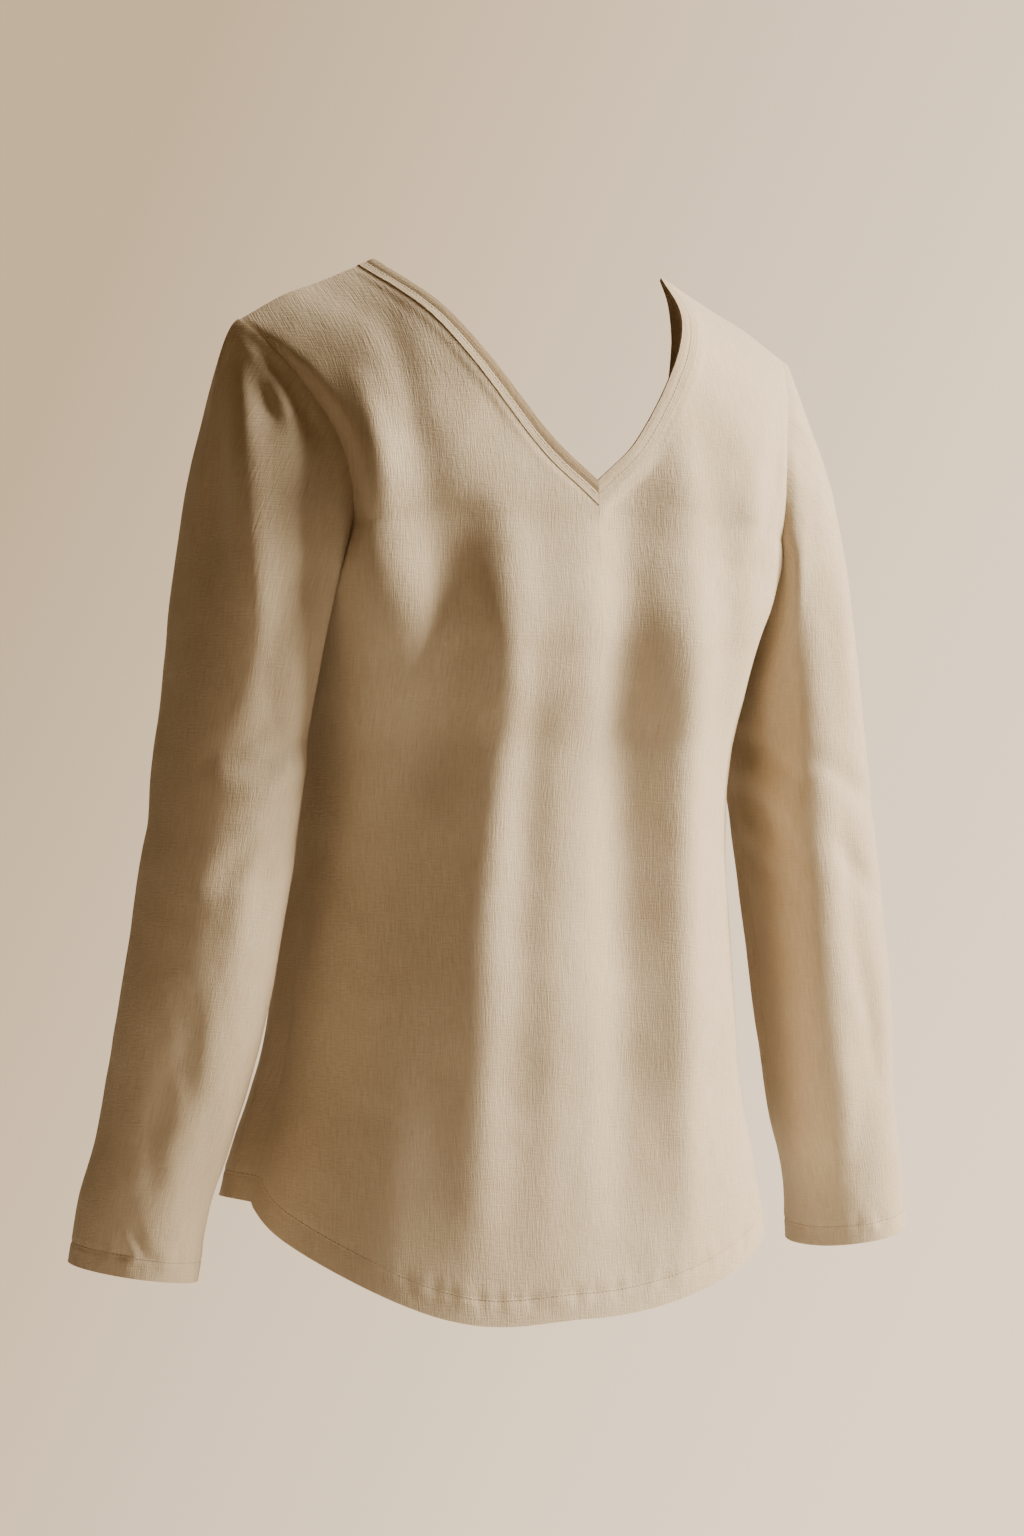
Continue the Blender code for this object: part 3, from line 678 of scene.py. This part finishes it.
def half_sheet(facing, side):
    """The outside of a half panel: its points, its faces, and the point at each row and column."""
    rows = lower_rows(facing, side)
    base = [rows[-1][k] for k in range(FRONT_COLUMNS + 1)]
    rows += upper_rows(base, facing)
    for row in rows:
        for point in row.values():
            point.x *= side
    return sheet_of(rows, facing * side > 0, False)


def sheet_of(rows, flip, around):
    """Points and faces of a sheet, and the index of the point at each row and column."""
    points, faces, index = [], [], []
    for row in rows:
        index.append({})
        for column in sorted(row):
            index[-1][column] = len(points)
            points.append(row[column])
    for low, high in zip(index, index[1:]):
        for column in low:
            after = (column + 1) % len(low) if around else column + 1
            if after in low and column in high and after in high:
                face = (low[column], low[after], high[after], high[column])
                faces.append(face[::-1] if flip else face)
    return points, faces, index


def joined(first, second, shared_rows):
    """Two half sheets as one, with one set of points down the middle of the rows they share."""
    points, faces, index = first
    more_points, more_faces, more_index = second
    moved = {more_index[i][0]: index[i][0] for i in range(shared_rows)}
    for k, point in enumerate(more_points):
        if k not in moved:
            moved[k] = len(points)
            points.append(point)
    faces += [tuple(moved[k] for k in face) for face in more_faces]
    return points, faces, [{c: moved[k] for c, k in row.items()} for row in more_index]


def flatten(vector, axis):
    """Turn a direction into the plane of a seam."""
    vector[axis] = 0.0
    vector.normalize()


def fold_depth(folds, across, z, scale):
    """How far the folds move the cloth at a place. scale turns across into metres."""
    first, span, power = FOLD_TAPER
    total = 0.0
    for start, start_z, end, end_z, width, depth in folds:
        run = Vector(((end - start) * scale, end_z - start_z))
        off = Vector(((across - start) * scale, z - start_z))
        t = min(1.0, max(0.0, off.dot(run) / run.length_squared))
        distance = (off - run * t).length
        strength = math.sin(math.pi * (first + span * t)) ** power
        total += depth * strength * bump(distance, 0.0, width)
    return total


def settle(point):
    """Lower the left shoulder a little, as the blouse hangs."""
    if point.x > 0.0:
        out = ease((point.x - DROP_FROM_X) / (DROP_TO_X - DROP_FROM_X))
        high = ease((point.z - DROP_FROM_Z) / (DROP_TO_Z - DROP_FROM_Z))
        point.z -= LEFT_SHOULDER_DROP * out * high
    return point


def ring_point(around, z):
    """A point of the sleeve below its head."""
    ring = along(SLEEVE, z)
    forward, out = rounded(around, ring.half_y, ring.half_x, ring.square)
    return Vector((ring.x + out, ring.y - forward, z))


def sleeve_head(k, around):
    """Points of one column of the sleeve's head, from just above its first ring to the armhole."""
    parts = NECK_ROWS + UNDERARM_COLUMNS
    front = k <= parts
    seam = armhole_point((k if front else 2 * parts - k) / parts, -1 if front else 1)
    out, forward, down = HEAD_LEAVE
    swell, lift = HEAD_SWELL
    c, s = math.cos(around), math.sin(around)
    leave = Vector((out + swell * c, -forward * s, -down + lift * c))
    seam.x += SLEEVE_GAP
    below = ring_point(around, HEAD_END_Z)
    arrive = (ring_point(around, HEAD_END_Z - SLEEVE_STEP) - below) / SLEEVE_STEP
    reach = (below - seam).length
    outside = 0.5 + 0.5 * c
    push = reach + (HEAD_OUT - reach) * outside
    pull = reach + (HEAD_DOWN - reach) * outside
    heights = [1.0 - i / HEAD_ROWS for i in range(1, HEAD_ROWS + 1)]
    return [sweep(seam, leave * push, below, arrive * pull, t) for t in heights]


def sleeve_rows():
    """The outside of the sleeve, as rings from the cuff up to the armhole."""
    count = 2 * (NECK_ROWS + UNDERARM_COLUMNS)
    angles = [math.tau * k / count for k in range(count)]
    start = CUFF_HEM + HEM_STEP
    end = HEAD_END_Z - SLEEVE[0].z
    levels = [CUFF_HEM * k / HEM_ROWS for k in range(HEM_ROWS + 1)] + [start]
    levels += [start + (end - start) * k / SLEEVE_ROWS for k in range(1, SLEEVE_ROWS + 1)]
    rows = []
    for level in levels:
        dip = CUFF_DIP * ease(1.0 - level / CUFF_DIP_HEIGHT)
        row = {}
        for k, around in enumerate(angles):
            row[k] = ring_point(around, SLEEVE[0].z + level)
            row[k].z -= dip * (CUFF_DIP_FORWARD * math.sin(around) - math.cos(around))
        rows.append(row)
    heads = [sleeve_head(k, around) for k, around in enumerate(angles)]
    rows += [{k: head[i] for k, head in enumerate(heads)} for i in range(HEAD_ROWS)]
    return rows, angles


def turned(points):
    """How far across places are along the level line of the creases."""
    return points[:, 0] * math.cos(TURN) - points[:, 1] * math.sin(TURN)


def crease_depth(creases, across, z):
    """How far the creases move the cloth, with across along their level line."""
    first, span, power = CREASE_TAPER
    total = np.zeros(len(z))
    for c in creases:
        places = ((c.across, c.z), (c.across_mid, c.z_mid), (c.across_end, c.z_end))
        nearest = np.full(len(z), np.inf)
        place_along = np.zeros(len(z))
        for half in (0, 1):
            start, end = np.array(places[half]), np.array(places[half + 1])
            run = end - start
            off = np.stack([across - start[0], z - start[1]], axis=1)
            t = np.clip(off @ run / (run @ run), 0.0, 1.0)
            distance = np.linalg.norm(off - t[:, None] * run, axis=1)
            closer = distance < nearest
            nearest = np.where(closer, distance, nearest)
            place_along = np.where(closer, (half + t) / 2, place_along)
        strength = np.sin(math.pi * (first + span * place_along)) ** power
        lip = bump(nearest, CREASE_LIP_AT * c.width, c.width)
        total += c.depth * strength * (bump(nearest, 0.0, c.width) - CREASE_LIP * lip)
    return total


def sway(points, size, seed):
    """Slow random unevenness, from -1 to 1."""
    shift = Vector([seed * step for step in SEED_SHIFT])
    return np.array([noise.noise(Vector(p) / size + shift) for p in points])


def as_array(vectors):
    """Points or directions as rows of an array."""
    return np.array([tuple(vector) for vector in vectors])


def quad_normals(points, faces):
    """The way that the outside faces at each point."""
    a, b, c, d = (points[faces[:, k]] for k in range(4))
    face_normals = np.cross(c - a, d - b)
    normals = np.zeros_like(points)
    for k in range(4):
        np.add.at(normals, faces[:, k], face_normals)
    return normals / np.linalg.norm(normals, axis=1)[:, None]


def distance_to(points, chosen):
    """Distance from each point to the nearest of the chosen points."""
    tree = KDTree(len(chosen))
    for k, point in enumerate(chosen):
        tree.insert(point, k)
    tree.balance()
    return np.array([tree.find(point)[2] for point in points])


def sink_at_armholes(points, sides, on_sleeve):
    """Sink the cloth along each armhole seam in front, so that a soft groove runs down it."""
    for side in sides:
        groove = GROOVES[side]
        line = [armhole_point(k / GROOVE_POINTS, -1) for k in range(GROOVE_POINTS + 1)]
        line = [Vector((point.x * side, point.y, point.z)) for point in line]
        width = groove.sleeve_width if on_sleeve else groove.body_width
        near = bump(distance_to(points, line), 0.0, width)
        z = points[:, 2]
        span = ease((groove.top - z) / (groove.top - groove.full))
        span = span * ease((z - groove.end) / (groove.low - groove.end))
        push = groove.depth * near * span
        points[:, 0] -= side * GROOVE_INWARDS[0] * push
        points[:, 1] += GROOVE_INWARDS[1] * push
    return points


def detail(points, faces, edges, creases, seed, stitches):
    """Move the cloth by its creases, unevenness, seam rolls and puckers.
    edges holds the distances from the seams, from the hem and across, and stitches is how far
    the row of stitches is from the hem."""
    seam, hem, across = edges
    normals = quad_normals(points, faces)
    room = ease(seam / CREASE_EDGE)
    shift = SWAY_DEPTH * sway(points, SWAY_SIZE, seed) * room
    shift += RUMPLE_DEPTH * sway(points, RUMPLE_SIZE, seed + RUMPLE_SEED) * room
    for towards, rows in creases:
        view = np.array([-math.sin(TURN), -math.cos(TURN), 0.0]) * towards
        seen = ease(normals @ view / CREASE_TURNED_AWAY + 0.5)
        shift += crease_depth(rows, turned(points), points[:, 2]) * seen * room
    shift += SEAM_ROLL * bump(seam, SEAM_ROLL_AT, SEAM_ROLL_WIDTH)
    near = bump(hem, stitches, PUCKER_REACH) * ease(seam / PUCKER_REACH)
    where = np.stack([across / PUCKER_SIZE, hem / (3 * PUCKER_SIZE), across * 0 + seed], axis=1)
    shift += PUCKER_DEPTH * near * np.array([noise.noise(Vector(p)) for p in where])
    shift -= STITCH_SINK * bump(hem, stitches, STITCH_SINK_WIDTH)
    return points + normals * shift[:, None]


def stored(mesh, name, values):
    """Store a value at each point of the mesh, for its material."""
    layer = mesh.attributes.new(name, "FLOAT", "POINT")
    layer.data.foreach_set("value", values.astype(np.float32))


def lay_grain(mesh, across, along_cloth, girth):
    """Store the grain coordinates. On a sleeve they run on over the line where the way round it
    starts again."""
    corners = np.zeros(len(mesh.loops), dtype=np.int64)
    mesh.loops.foreach_get("vertex_index", corners)
    u, v = across[corners], along_cloth[corners]
    if girth:
        first = np.zeros(len(mesh.polygons), dtype=np.int64)
        mesh.polygons.foreach_get("loop_start", first)
        own = first[:, None] + np.arange(4)
        wide = np.ptp(u[own], axis=1) > girth / 2
        u[own[wide]] += np.where(u[own[wide]] < 0.0, girth, 0.0)
    grain = mesh.uv_layers.new(name="grain")
    grain.data.foreach_set("uv", np.stack([u, v], axis=1).astype(np.float32).ravel())


def add_object(name, data):
    """A new object in the scene."""
    made = bpy.data.objects.new(name, data)
    bpy.context.scene.collection.objects.link(made)
    return made


def cloth_piece(name, points, faces, normals, depths, marks):
    """A closed thin wall of cloth. marks holds each point's distance from the hem and its place
    across and along the cloth, and the girth of a sleeve."""
    hem, across, along_cloth, girth = marks
    total = len(points)
    inner = points - normals * np.array(depths)[:, None]
    places = [settle(Vector(p)) for p in points] + [settle(Vector(p)) for p in inner]
    edges = {(a, b) for face in faces for a, b in zip(face, face[1:] + face[:1])}
    walls = list(faces)
    walls += [tuple(k + total for k in reversed(face)) for face in faces]
    walls += [(b, a, a + total, b + total) for a, b in sorted(edges) if (b, a) not in edges]
    mesh = bpy.data.meshes.new(name)
    mesh.from_pydata(places, [], walls)
    mesh.update()
    mesh.shade_smooth()
    mesh.set_sharp_from_angle(angle=math.radians(SHARP_ANGLE))
    stored(mesh, "hem", np.tile(hem, 2))
    # Marks the inner wall, which the material covers with painted shade
    stored(mesh, "inside_shade", np.repeat([0.0, 1.0], total))
    lay_grain(mesh, np.tile(across, 2), np.tile(along_cloth, 2), girth)
    return add_object(name, mesh)


def panel_places(points, halves, base):
    """The points on a panel's seams, on its hem's edge and in its hem, and how far across it each
    point lies. base is the row across the upper chest."""
    seams, hem_edge, hem_fold = set(), set(), set()
    across = np.zeros(len(points))
    for index, side in halves:
        seams.update(row[LAST_COLUMN] for row in index[: base + 1])
        seams.update(index[base][k] for k in range(FRONT_COLUMNS, LAST_COLUMN))
        seams.update(row[FRONT_COLUMNS] for row in index[base:])
        seams.update(row[0] for row in index[base:])
        seams.update(index[-1].values())
        hem_edge.update(index[0].values())
        hem_fold.update(k for row in index[: HEM_ROWS + 1] for k in row.values())
        for row in index:
            before = row[0]
            reach = abs(points[before].x)
            for column in sorted(row):
                step = points[row[column]] - points[before]
                reach += math.hypot(step.x, step.y)
                before = row[column]
                across[before] = reach * side
    return sorted(seams), sorted(hem_edge), hem_fold, across


def square_seams(places, normals, halves, facing, base):
    """Turn the cloth's thickness at a panel's seams into their planes, so that the pieces meet."""
    for index, side in halves:
        for row in index[: base + 1]:
            if facing < 0:
                places[row[0], 0] = side * SEAM_GAP / 2
                flatten(normals[row[0]], 0)
            flatten(normals[row[LAST_COLUMN]], 1)
        for i, row in enumerate(index[base:]):
            outside = below_neck(i / NECK_ROWS, BAND_WIDTH, facing)[1]
            normals[row[0]] = Vector((outside.x * side, outside.y, outside.z))
        for k in index[-1].values():
            flatten(normals[k], 1)


def panel_piece(name, sheet, halves, facing, folds, creases, seed):
    """A body panel. halves pairs each half's points by row and column with its side."""
    points, faces = sheet
    quads = np.array(faces)
    base = len(halves[0][0]) - 1 - NECK_ROWS
    seams, hem_edge, hem_fold, across = panel_places(points, halves, base)
    room = ease(distance_to(points, [points[k] for k in seams]) / FOLD_MARGIN)
    shifts = [fold_depth(folds, p.x, p.z, 1.0) * r for p, r in zip(points, room)]
    for point, normal, shift in zip(points, quad_normals(as_array(points), quads), shifts):
        point += Vector(normal) * shift
    seam = distance_to(points, [points[k] for k in seams])
    hem = distance_to(points, [points[k] for k in hem_edge])
    edges = (seam, hem, across)
    places = detail(as_array(points), quads, edges, [(-facing, creases)], seed, BODY_HEM)
    if facing < 0:
        places = sink_at_armholes(places, [side for _, side in halves], False)
    normals = [Vector(n) for n in quad_normals(places, quads)]
    square_seams(places, normals, halves, facing, base)
    depths = [HEM_CLOTH if k in hem_fold else CLOTH for k in range(len(points))]
    marks = (hem, across, places[:, 2], None)
    return cloth_piece(name, places, faces, as_array(normals), depths, marks)


def front_piece(name, side):
    """One half of the front."""
    points, faces, index = half_sheet(-1, side)
    halves = [(index, side)]
    return panel_piece(name, (points, faces), halves, -1, FRONT_FOLDS, FRONT_CREASES, FRONT_SEED)


def back_piece(name):
    """The whole back, in one piece."""
    first, second = half_sheet(1, 1), half_sheet(1, -1)
    points, faces, second_index = joined(first, second, len(first[2]) - NECK_ROWS)
    halves = [(first[2], 1), (second_index, -1)]
    return panel_piece(name, (points, faces), halves, 1, BACK_FOLDS, BACK_CREASES, BACK_SEED)


def mirrored(crease, side):
    """A crease of a left sleeve, on the given side."""
    ends = (crease.across * side, crease.across_mid * side, crease.across_end * side)
    return crease._replace(across=ends[0], across_mid=ends[1], across_end=ends[2])


def sleeve_piece(name, side, folds, creases):
    """A set-in sleeve, open at the armhole and at the cuff."""
    rows, angles = sleeve_rows()
    scale = math.radians(1) * FOLD_RADIUS
    row_step = (NECK_ROWS + UNDERARM_COLUMNS) / SOLID_SEAM_ROWS
    for i, row in enumerate(rows):
        margin = ease((len(rows) - 1 - i) / (FOLD_ROWS * row_step))
        for k, around in enumerate(angles):
            away = ease((1.0 + math.cos(around)) / FOLD_INNER)
            shift = fold_depth(folds, math.degrees(around), row[k].z, scale) * margin * away
            row[k] += Vector((math.cos(around), -math.sin(around), 0.0)) * shift
            row[k].x *= side
    points, faces, index = sheet_of(rows, side > 0, True)
    girth = math.tau * FOLD_RADIUS
    across = np.zeros(len(points))
    for row in index:
        for k, around in enumerate(angles):
            across[row[k]] = ((around + math.pi) % math.tau - math.pi) * FOLD_RADIUS
    places = as_array(points)
    seam = distance_to(points, [points[k] for k in index[-1].values()])
    hem = distance_to(points, [points[k] for k in index[0].values()])
    quads = np.array(faces)
    creases = [(1, creases), (-1, [mirrored(crease, side) for crease in BACK_SLEEVE_CREASES])]
    places = detail(places, quads, (seam, hem, across), creases, SLEEVE_SEEDS[side], CUFF_HEM)
    places = sink_at_armholes(places, [side], True)
    rise = SLEEVE_RISE[side] * bump(seam, 0.0, SEAM_ROLL_WIDTH)
    places = places + quad_normals(places, quads) * rise[:, None]
    normals = quad_normals(places, quads)
    fold = {k for row in index[: HEM_ROWS + 1] for k in row.values()}
    depths = [HEM_CLOTH if k in fold else CLOTH for k in range(len(points))]
    marks = (hem, across, places[:, 2], girth)
    return cloth_piece(name, places, faces, normals, depths, marks)


def band_half(facing, side):
    """The outside of a half neckband, with its roll and the groove between its strips.
    Its marks are the distance from the neckline and the length along it."""
    rows, normals, marks = [], [], []
    for i in range(BAND_ROWS + 1):
        distance = BAND_WIDTH * (1 - i / BAND_ROWS)
        rows.append({})
        for k in range(NECK_ROWS + 1):
            point, outside = below_neck(k / NECK_ROWS, distance, facing)
            if k == 0 and facing < 0:
                point.x = SEAM_GAP / 2
            relief = BAND_ROLL * bump(distance, BAND_ROLL_AT, BAND_ROLL_WIDTH)
            relief -= BAND_GROOVE * bump(distance, BAND_GROOVE_AT, BAND_GROOVE_WIDTH)
            point += outside * (BAND_PROUD + relief)
            point.x *= side
            outside.x *= side
            rows[i][k] = point
            normals.append(outside)
            marks.append((distance, k / NECK_ROWS * BAND_LENGTH * side))
    points, faces, index = sheet_of(rows, facing * side > 0, False)
    return points, faces, index, normals, marks


def band_piece(name, first, second=None):
    """A neckband from one half or from two joined halves."""
    points, faces, index, normals, marks = first
    if second:
        more_index, more_normals, more_marks = second[2:]
        middle = {row[0] for row in more_index}
        joined((points, faces, index), second[:3], BAND_ROWS + 1)
        normals += [normal for k, normal in enumerate(more_normals) if k not in middle]
        marks += [mark for k, mark in enumerate(more_marks) if k not in middle]
    places = as_array(points)
    outward = as_array(normals)
    distance, length = np.array(marks).T
    depths = [BAND_CLOTH] * len(points)
    marks = (distance, distance, length, None)
    return cloth_piece(name, places, faces, outward, depths, marks)


def node(tree, kind, **settings):
    """A new shader node with its settings."""
    made = tree.nodes.new(kind)
    for key, value in settings.items():
        setattr(made, key, value)
    return made


def set_inputs(made, values):
    """Set a node's inputs by name."""
    for key, value in values.items():
        made.inputs[key].default_value = value


def math_node(tree, operation, first, second=None, third=None):
    """A Math node. Each value is a number or another node's output."""
    made = node(tree, "ShaderNodeMath", operation=operation)
    for socket, value in zip(made.inputs, (first, second, third)):
        if isinstance(value, (int, float)):
            socket.default_value = value
        elif value is not None:
            tree.links.new(value, socket)
    return made.outputs[0]


def stretched_noise(tree, grain, wide, long, detail_level, seed):
    """Noise whose marks are wide across the grain and long along it, in metres."""
    mapping = node(tree, "ShaderNodeMapping")
    shift = [seed * step for step in GRAIN_SHIFT]
    set_inputs(mapping, {"Scale": (1.0 / wide, 1.0 / long, 1.0), "Location": shift})
    tree.links.new(grain, mapping.inputs["Vector"])
    made = node(tree, "ShaderNodeTexNoise")
    set_inputs(made, {"Scale": 1.0, "Detail": detail_level})
    tree.links.new(mapping.outputs[0], made.inputs["Vector"])
    return made.outputs["Fac"]


def weighted(tree, outputs, shares):
    """The sum of some outputs, each times its share."""
    total = math_node(tree, "MULTIPLY", outputs[1], shares[1])
    total = math_node(tree, "MULTIPLY_ADD", outputs[0], shares[0], total)
    for output, share in zip(outputs[2:], shares[2:]):
        total = math_node(tree, "ADD", total, math_node(tree, "MULTIPLY", output, share))
    return total


def attribute(tree, name):
    """A value that is stored on the mesh."""
    return node(tree, "ShaderNodeAttribute", attribute_name=name).outputs["Fac"]


def mix_colour(tree, factor, first, second):
    """A mix of two colours. Each is four numbers or another node's output."""
    made = node(tree, "ShaderNodeMix", data_type="RGBA")
    for socket, value in ((made.inputs[0], factor), (made.inputs[6], first), (made.inputs[7], second)):
        if isinstance(value, (int, float, tuple)):
            socket.default_value = value
        else:
            tree.links.new(value, socket)
    return made.outputs[2]


def line_mask(tree, distance, place, width):
    """1 on a line at a distance from an edge, and 0 away from it."""
    off = math_node(tree, "ABSOLUTE", math_node(tree, "SUBTRACT", distance, place))
    off = math_node(tree, "MINIMUM", math_node(tree, "DIVIDE", off, width), 1.0)
    return math_node(tree, "SUBTRACT", 1.0, off)


def stitch_row(tree, grain, distance, place, on_band):
    """1 on the thread of a row of stitches at a distance from an edge, and 0 elsewhere."""
    parts = node(tree, "ShaderNodeSeparateXYZ")
    tree.links.new(grain, parts.inputs[0])
    runs_on = parts.outputs[1] if on_band else parts.outputs[0]
    beat = math_node(tree, "FRACT", math_node(tree, "DIVIDE", runs_on, STITCH_LENGTH))
    thread = math_node(tree, "LESS_THAN", beat, STITCH_COVER)
    return math_node(tree, "MULTIPLY", line_mask(tree, distance, place, STITCH_WIDTH), thread)


def linen(name, seed, stitches, tint):
    """Brushed linen-like cloth: a soft lengthwise nap, fine yarns with slubs, and a row of stitches.
    The inside of every piece is painted darker as painted shade, and on a neckband the strip along the
    neckline is painted darker as painted shade."""
    material = bpy.data.materials.new(name)
    material.use_nodes = True
    tree = material.node_tree
    shader = tree.nodes["Principled BSDF"]
    grain = node(tree, "ShaderNodeUVMap", uv_map="grain").outputs[0]
    nap, fibre, weft, cloud = (
        stretched_noise(tree, grain, *layer, seed + LAYER_SEED * k)
        for k, layer in enumerate(LAYERS)
    )
    tone = weighted(tree, (nap, fibre, weft), TONE_SHARES)
    contrast = math_node(tree, "MULTIPLY_ADD", tone, TONE_CONTRAST, 0.5 - 0.5 * TONE_CONTRAST)
    colour = mix_colour(tree, contrast, CLOTH_DARK, CLOTH_LIGHT)
    warm = math_node(tree, "MULTIPLY", cloud, WARM_SHARE)
    colour = mix_colour(tree, warm, colour, CLOTH_WARM)
    distance = attribute(tree, "hem")
    stitch = stitch_row(tree, grain, distance, stitches, tint != 1.0)
    colour = mix_colour(tree, math_node(tree, "MULTIPLY", stitch, STITCH_TONE), colour, THREAD)
    # Painted shade on the inner side of the cloth
    inside_shade = math_node(tree, "MULTIPLY", attribute(tree, "inside_shade"), INSIDE_SHADE_SHARE)
    colour = mix_colour(tree, inside_shade, colour, INSIDE_SHADE)
    # Painted shade on the neckband's strip along the neckline, where it turns away from the light
    if tint != 1.0:
        shaded_strip = math_node(tree, "LESS_THAN", distance, BAND_GROOVE_AT)
        colour = mix_colour(tree, math_node(tree, "MULTIPLY", shaded_strip, 1.0 - tint), colour, BAND_PAINTED_SHADE)
    tree.links.new(colour, shader.inputs["Base Color"])
    rough = math_node(tree, "MULTIPLY_ADD", fibre, ROUGHER, SMOOTHEST)
    tree.links.new(rough, shader.inputs["Roughness"])
    set_inputs(shader, CLOTH_SURFACE)
    relief = weighted(tree, (nap, fibre, weft, stitch), RELIEF_SHARES)
    raised = node(tree, "ShaderNodeBump")
    set_inputs(raised, RELIEF_STEEPNESS)
    tree.links.new(relief, raised.inputs["Height"])
    tree.links.new(raised.outputs[0], shader.inputs["Normal"])
    return material


def plain(name, colour, roughness):
    """A plain matt surface for the stage, with a faint unevenness."""
    material = bpy.data.materials.new(name)
    material.use_nodes = True
    tree = material.node_tree
    shader = tree.nodes["Principled BSDF"]
    spread = node(tree, "ShaderNodeTexNoise")
    set_inputs(spread, {"Scale": FLOOR_UNEVENNESS})
    darker = (*(FLOOR_DARKER * c for c in colour[:3]), 1.0)
    tree.links.new(mix_colour(tree, spread.outputs["Fac"], darker, colour), shader.inputs["Base Color"])
    set_inputs(shader, {"Roughness": roughness})
    return material


def make_camera():
    """The camera at the photo's viewing angle: three quarters from the wearer's right."""
    back = Vector((-math.sin(TURN), -math.cos(TURN), 0.0))
    data = bpy.data.cameras.new("camera")
    data.sensor_fit = "VERTICAL"
    data.sensor_height = SENSOR
    data.lens = SCALE_AT_DISTANCE * CAMERA_DISTANCE / PHOTO_HEIGHT * SENSOR
    data.shift_x = (PHOTO_WIDTH / 2 - MIDDLE_X) / PHOTO_HEIGHT
    data.shift_y = (MIDDLE_Y - PHOTO_HEIGHT / 2) / PHOTO_HEIGHT
    camera = add_object("camera", data)
    camera.location = back * CAMERA_DISTANCE + Vector((0.0, 0.0, CAMERA_Z))
    camera.rotation_euler = (-back).to_track_quat("-Z", "Y").to_euler()
    bpy.context.scene.camera = camera


def area_light(name, direction, distance, size, power, colour):
    """A soft square light that shines at the middle of the blouse from a direction."""
    data = bpy.data.lights.new(name, "AREA")
    data.size = size
    data.energy = power
    data.color = colour
    light = add_object(name, data)
    away = Vector(direction).normalized()
    light.location = Vector((0.0, 0.0, CAMERA_Z)) + away * distance
    light.rotation_euler = (-away).to_track_quat("-Z", "Y").to_euler()
    light.visible_camera = False


def make_world():
    """A plain warm backdrop, lighter towards one side and downwards as painted light that only the
    camera sees, and the room's warm bounce.
    """
    world = bpy.data.worlds.new("backdrop")
    bpy.context.scene.world = world
    world.use_nodes = True
    tree = world.node_tree
    background = tree.nodes["Background"]
    where = node(tree, "ShaderNodeTexCoord").outputs["Generated"]
    side = node(tree, "ShaderNodeVectorMath", operation="DOT_PRODUCT")
    tree.links.new(where, side.inputs[0])
    side.inputs[1].default_value = (math.cos(TURN), -math.sin(TURN), -WALL_DOWNWARDS)
    factor = math_node(tree, "MULTIPLY_ADD", side.outputs["Value"], WALL_CONTRAST, 0.5)
    spread = math_node(tree, "MINIMUM", math_node(tree, "MAXIMUM", factor, 0.0), 1.0)
    tree.links.new(mix_colour(tree, spread, WALL_DARK, WALL_LIGHT), background.inputs["Color"])
    bounce = node(tree, "ShaderNodeBackground")
    set_inputs(bounce, {"Color": BOUNCE, "Strength": BOUNCE_STRENGTH})
    chosen = node(tree, "ShaderNodeMixShader")
    tree.links.new(node(tree, "ShaderNodeLightPath").outputs["Is Camera Ray"], chosen.inputs[0])
    tree.links.new(bounce.outputs[0], chosen.inputs[1])
    tree.links.new(background.outputs[0], chosen.inputs[2])
    tree.links.new(chosen.outputs[0], tree.nodes["World Output"].inputs["Surface"])


def make_stage():
    """The floor, the lights and the backdrop."""
    mesh = bpy.data.meshes.new("floor")
    angles = [math.tau * k / FLOOR_SIDES for k in range(FLOOR_SIDES)]
    rim = [(FLOOR_RADIUS * math.cos(a), FLOOR_RADIUS * math.sin(a), FLOOR_Z) for a in angles]
    mesh.from_pydata(rim, [], [tuple(range(FLOOR_SIDES))])
    mesh.materials.append(plain("pale_floor", FLOOR_COLOUR, FLOOR_ROUGHNESS))
    floor = add_object("floor", mesh)
    for row in LIGHTS:
        area_light(*row)
    make_world()


def dress(piece, body_node):
    """Hang a piece on the root and hide the solid that it was cut from."""
    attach(piece, "root")
    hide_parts(body_node)


def main():
    """Make the blouse, the stage and the camera. The pieces are in the order of CUTS."""
    pieces = (
        front_piece("front_right_panel", -1),
        front_piece("front_left_panel", 1),
        back_piece("back_panel"),
        sleeve_piece("right_sleeve", -1, RIGHT_SLEEVE_FOLDS, RIGHT_SLEEVE_CREASES),
        sleeve_piece("left_sleeve", 1, LEFT_SLEEVE_FOLDS, LEFT_SLEEVE_CREASES),
        band_piece("right_front_band", band_half(-1, -1)),
        band_piece("left_front_band", band_half(-1, 1)),
        band_piece("back_band", band_half(1, 1), band_half(1, -1)),
    )
    for seed, (piece, cut) in enumerate(zip(pieces, CUTS), start=1):
        piece.data.materials.append(linen(cut.slot, seed, cut.stitches, cut.tint))
        dress(piece, cut.node)
    make_stage()
    make_camera()


main()
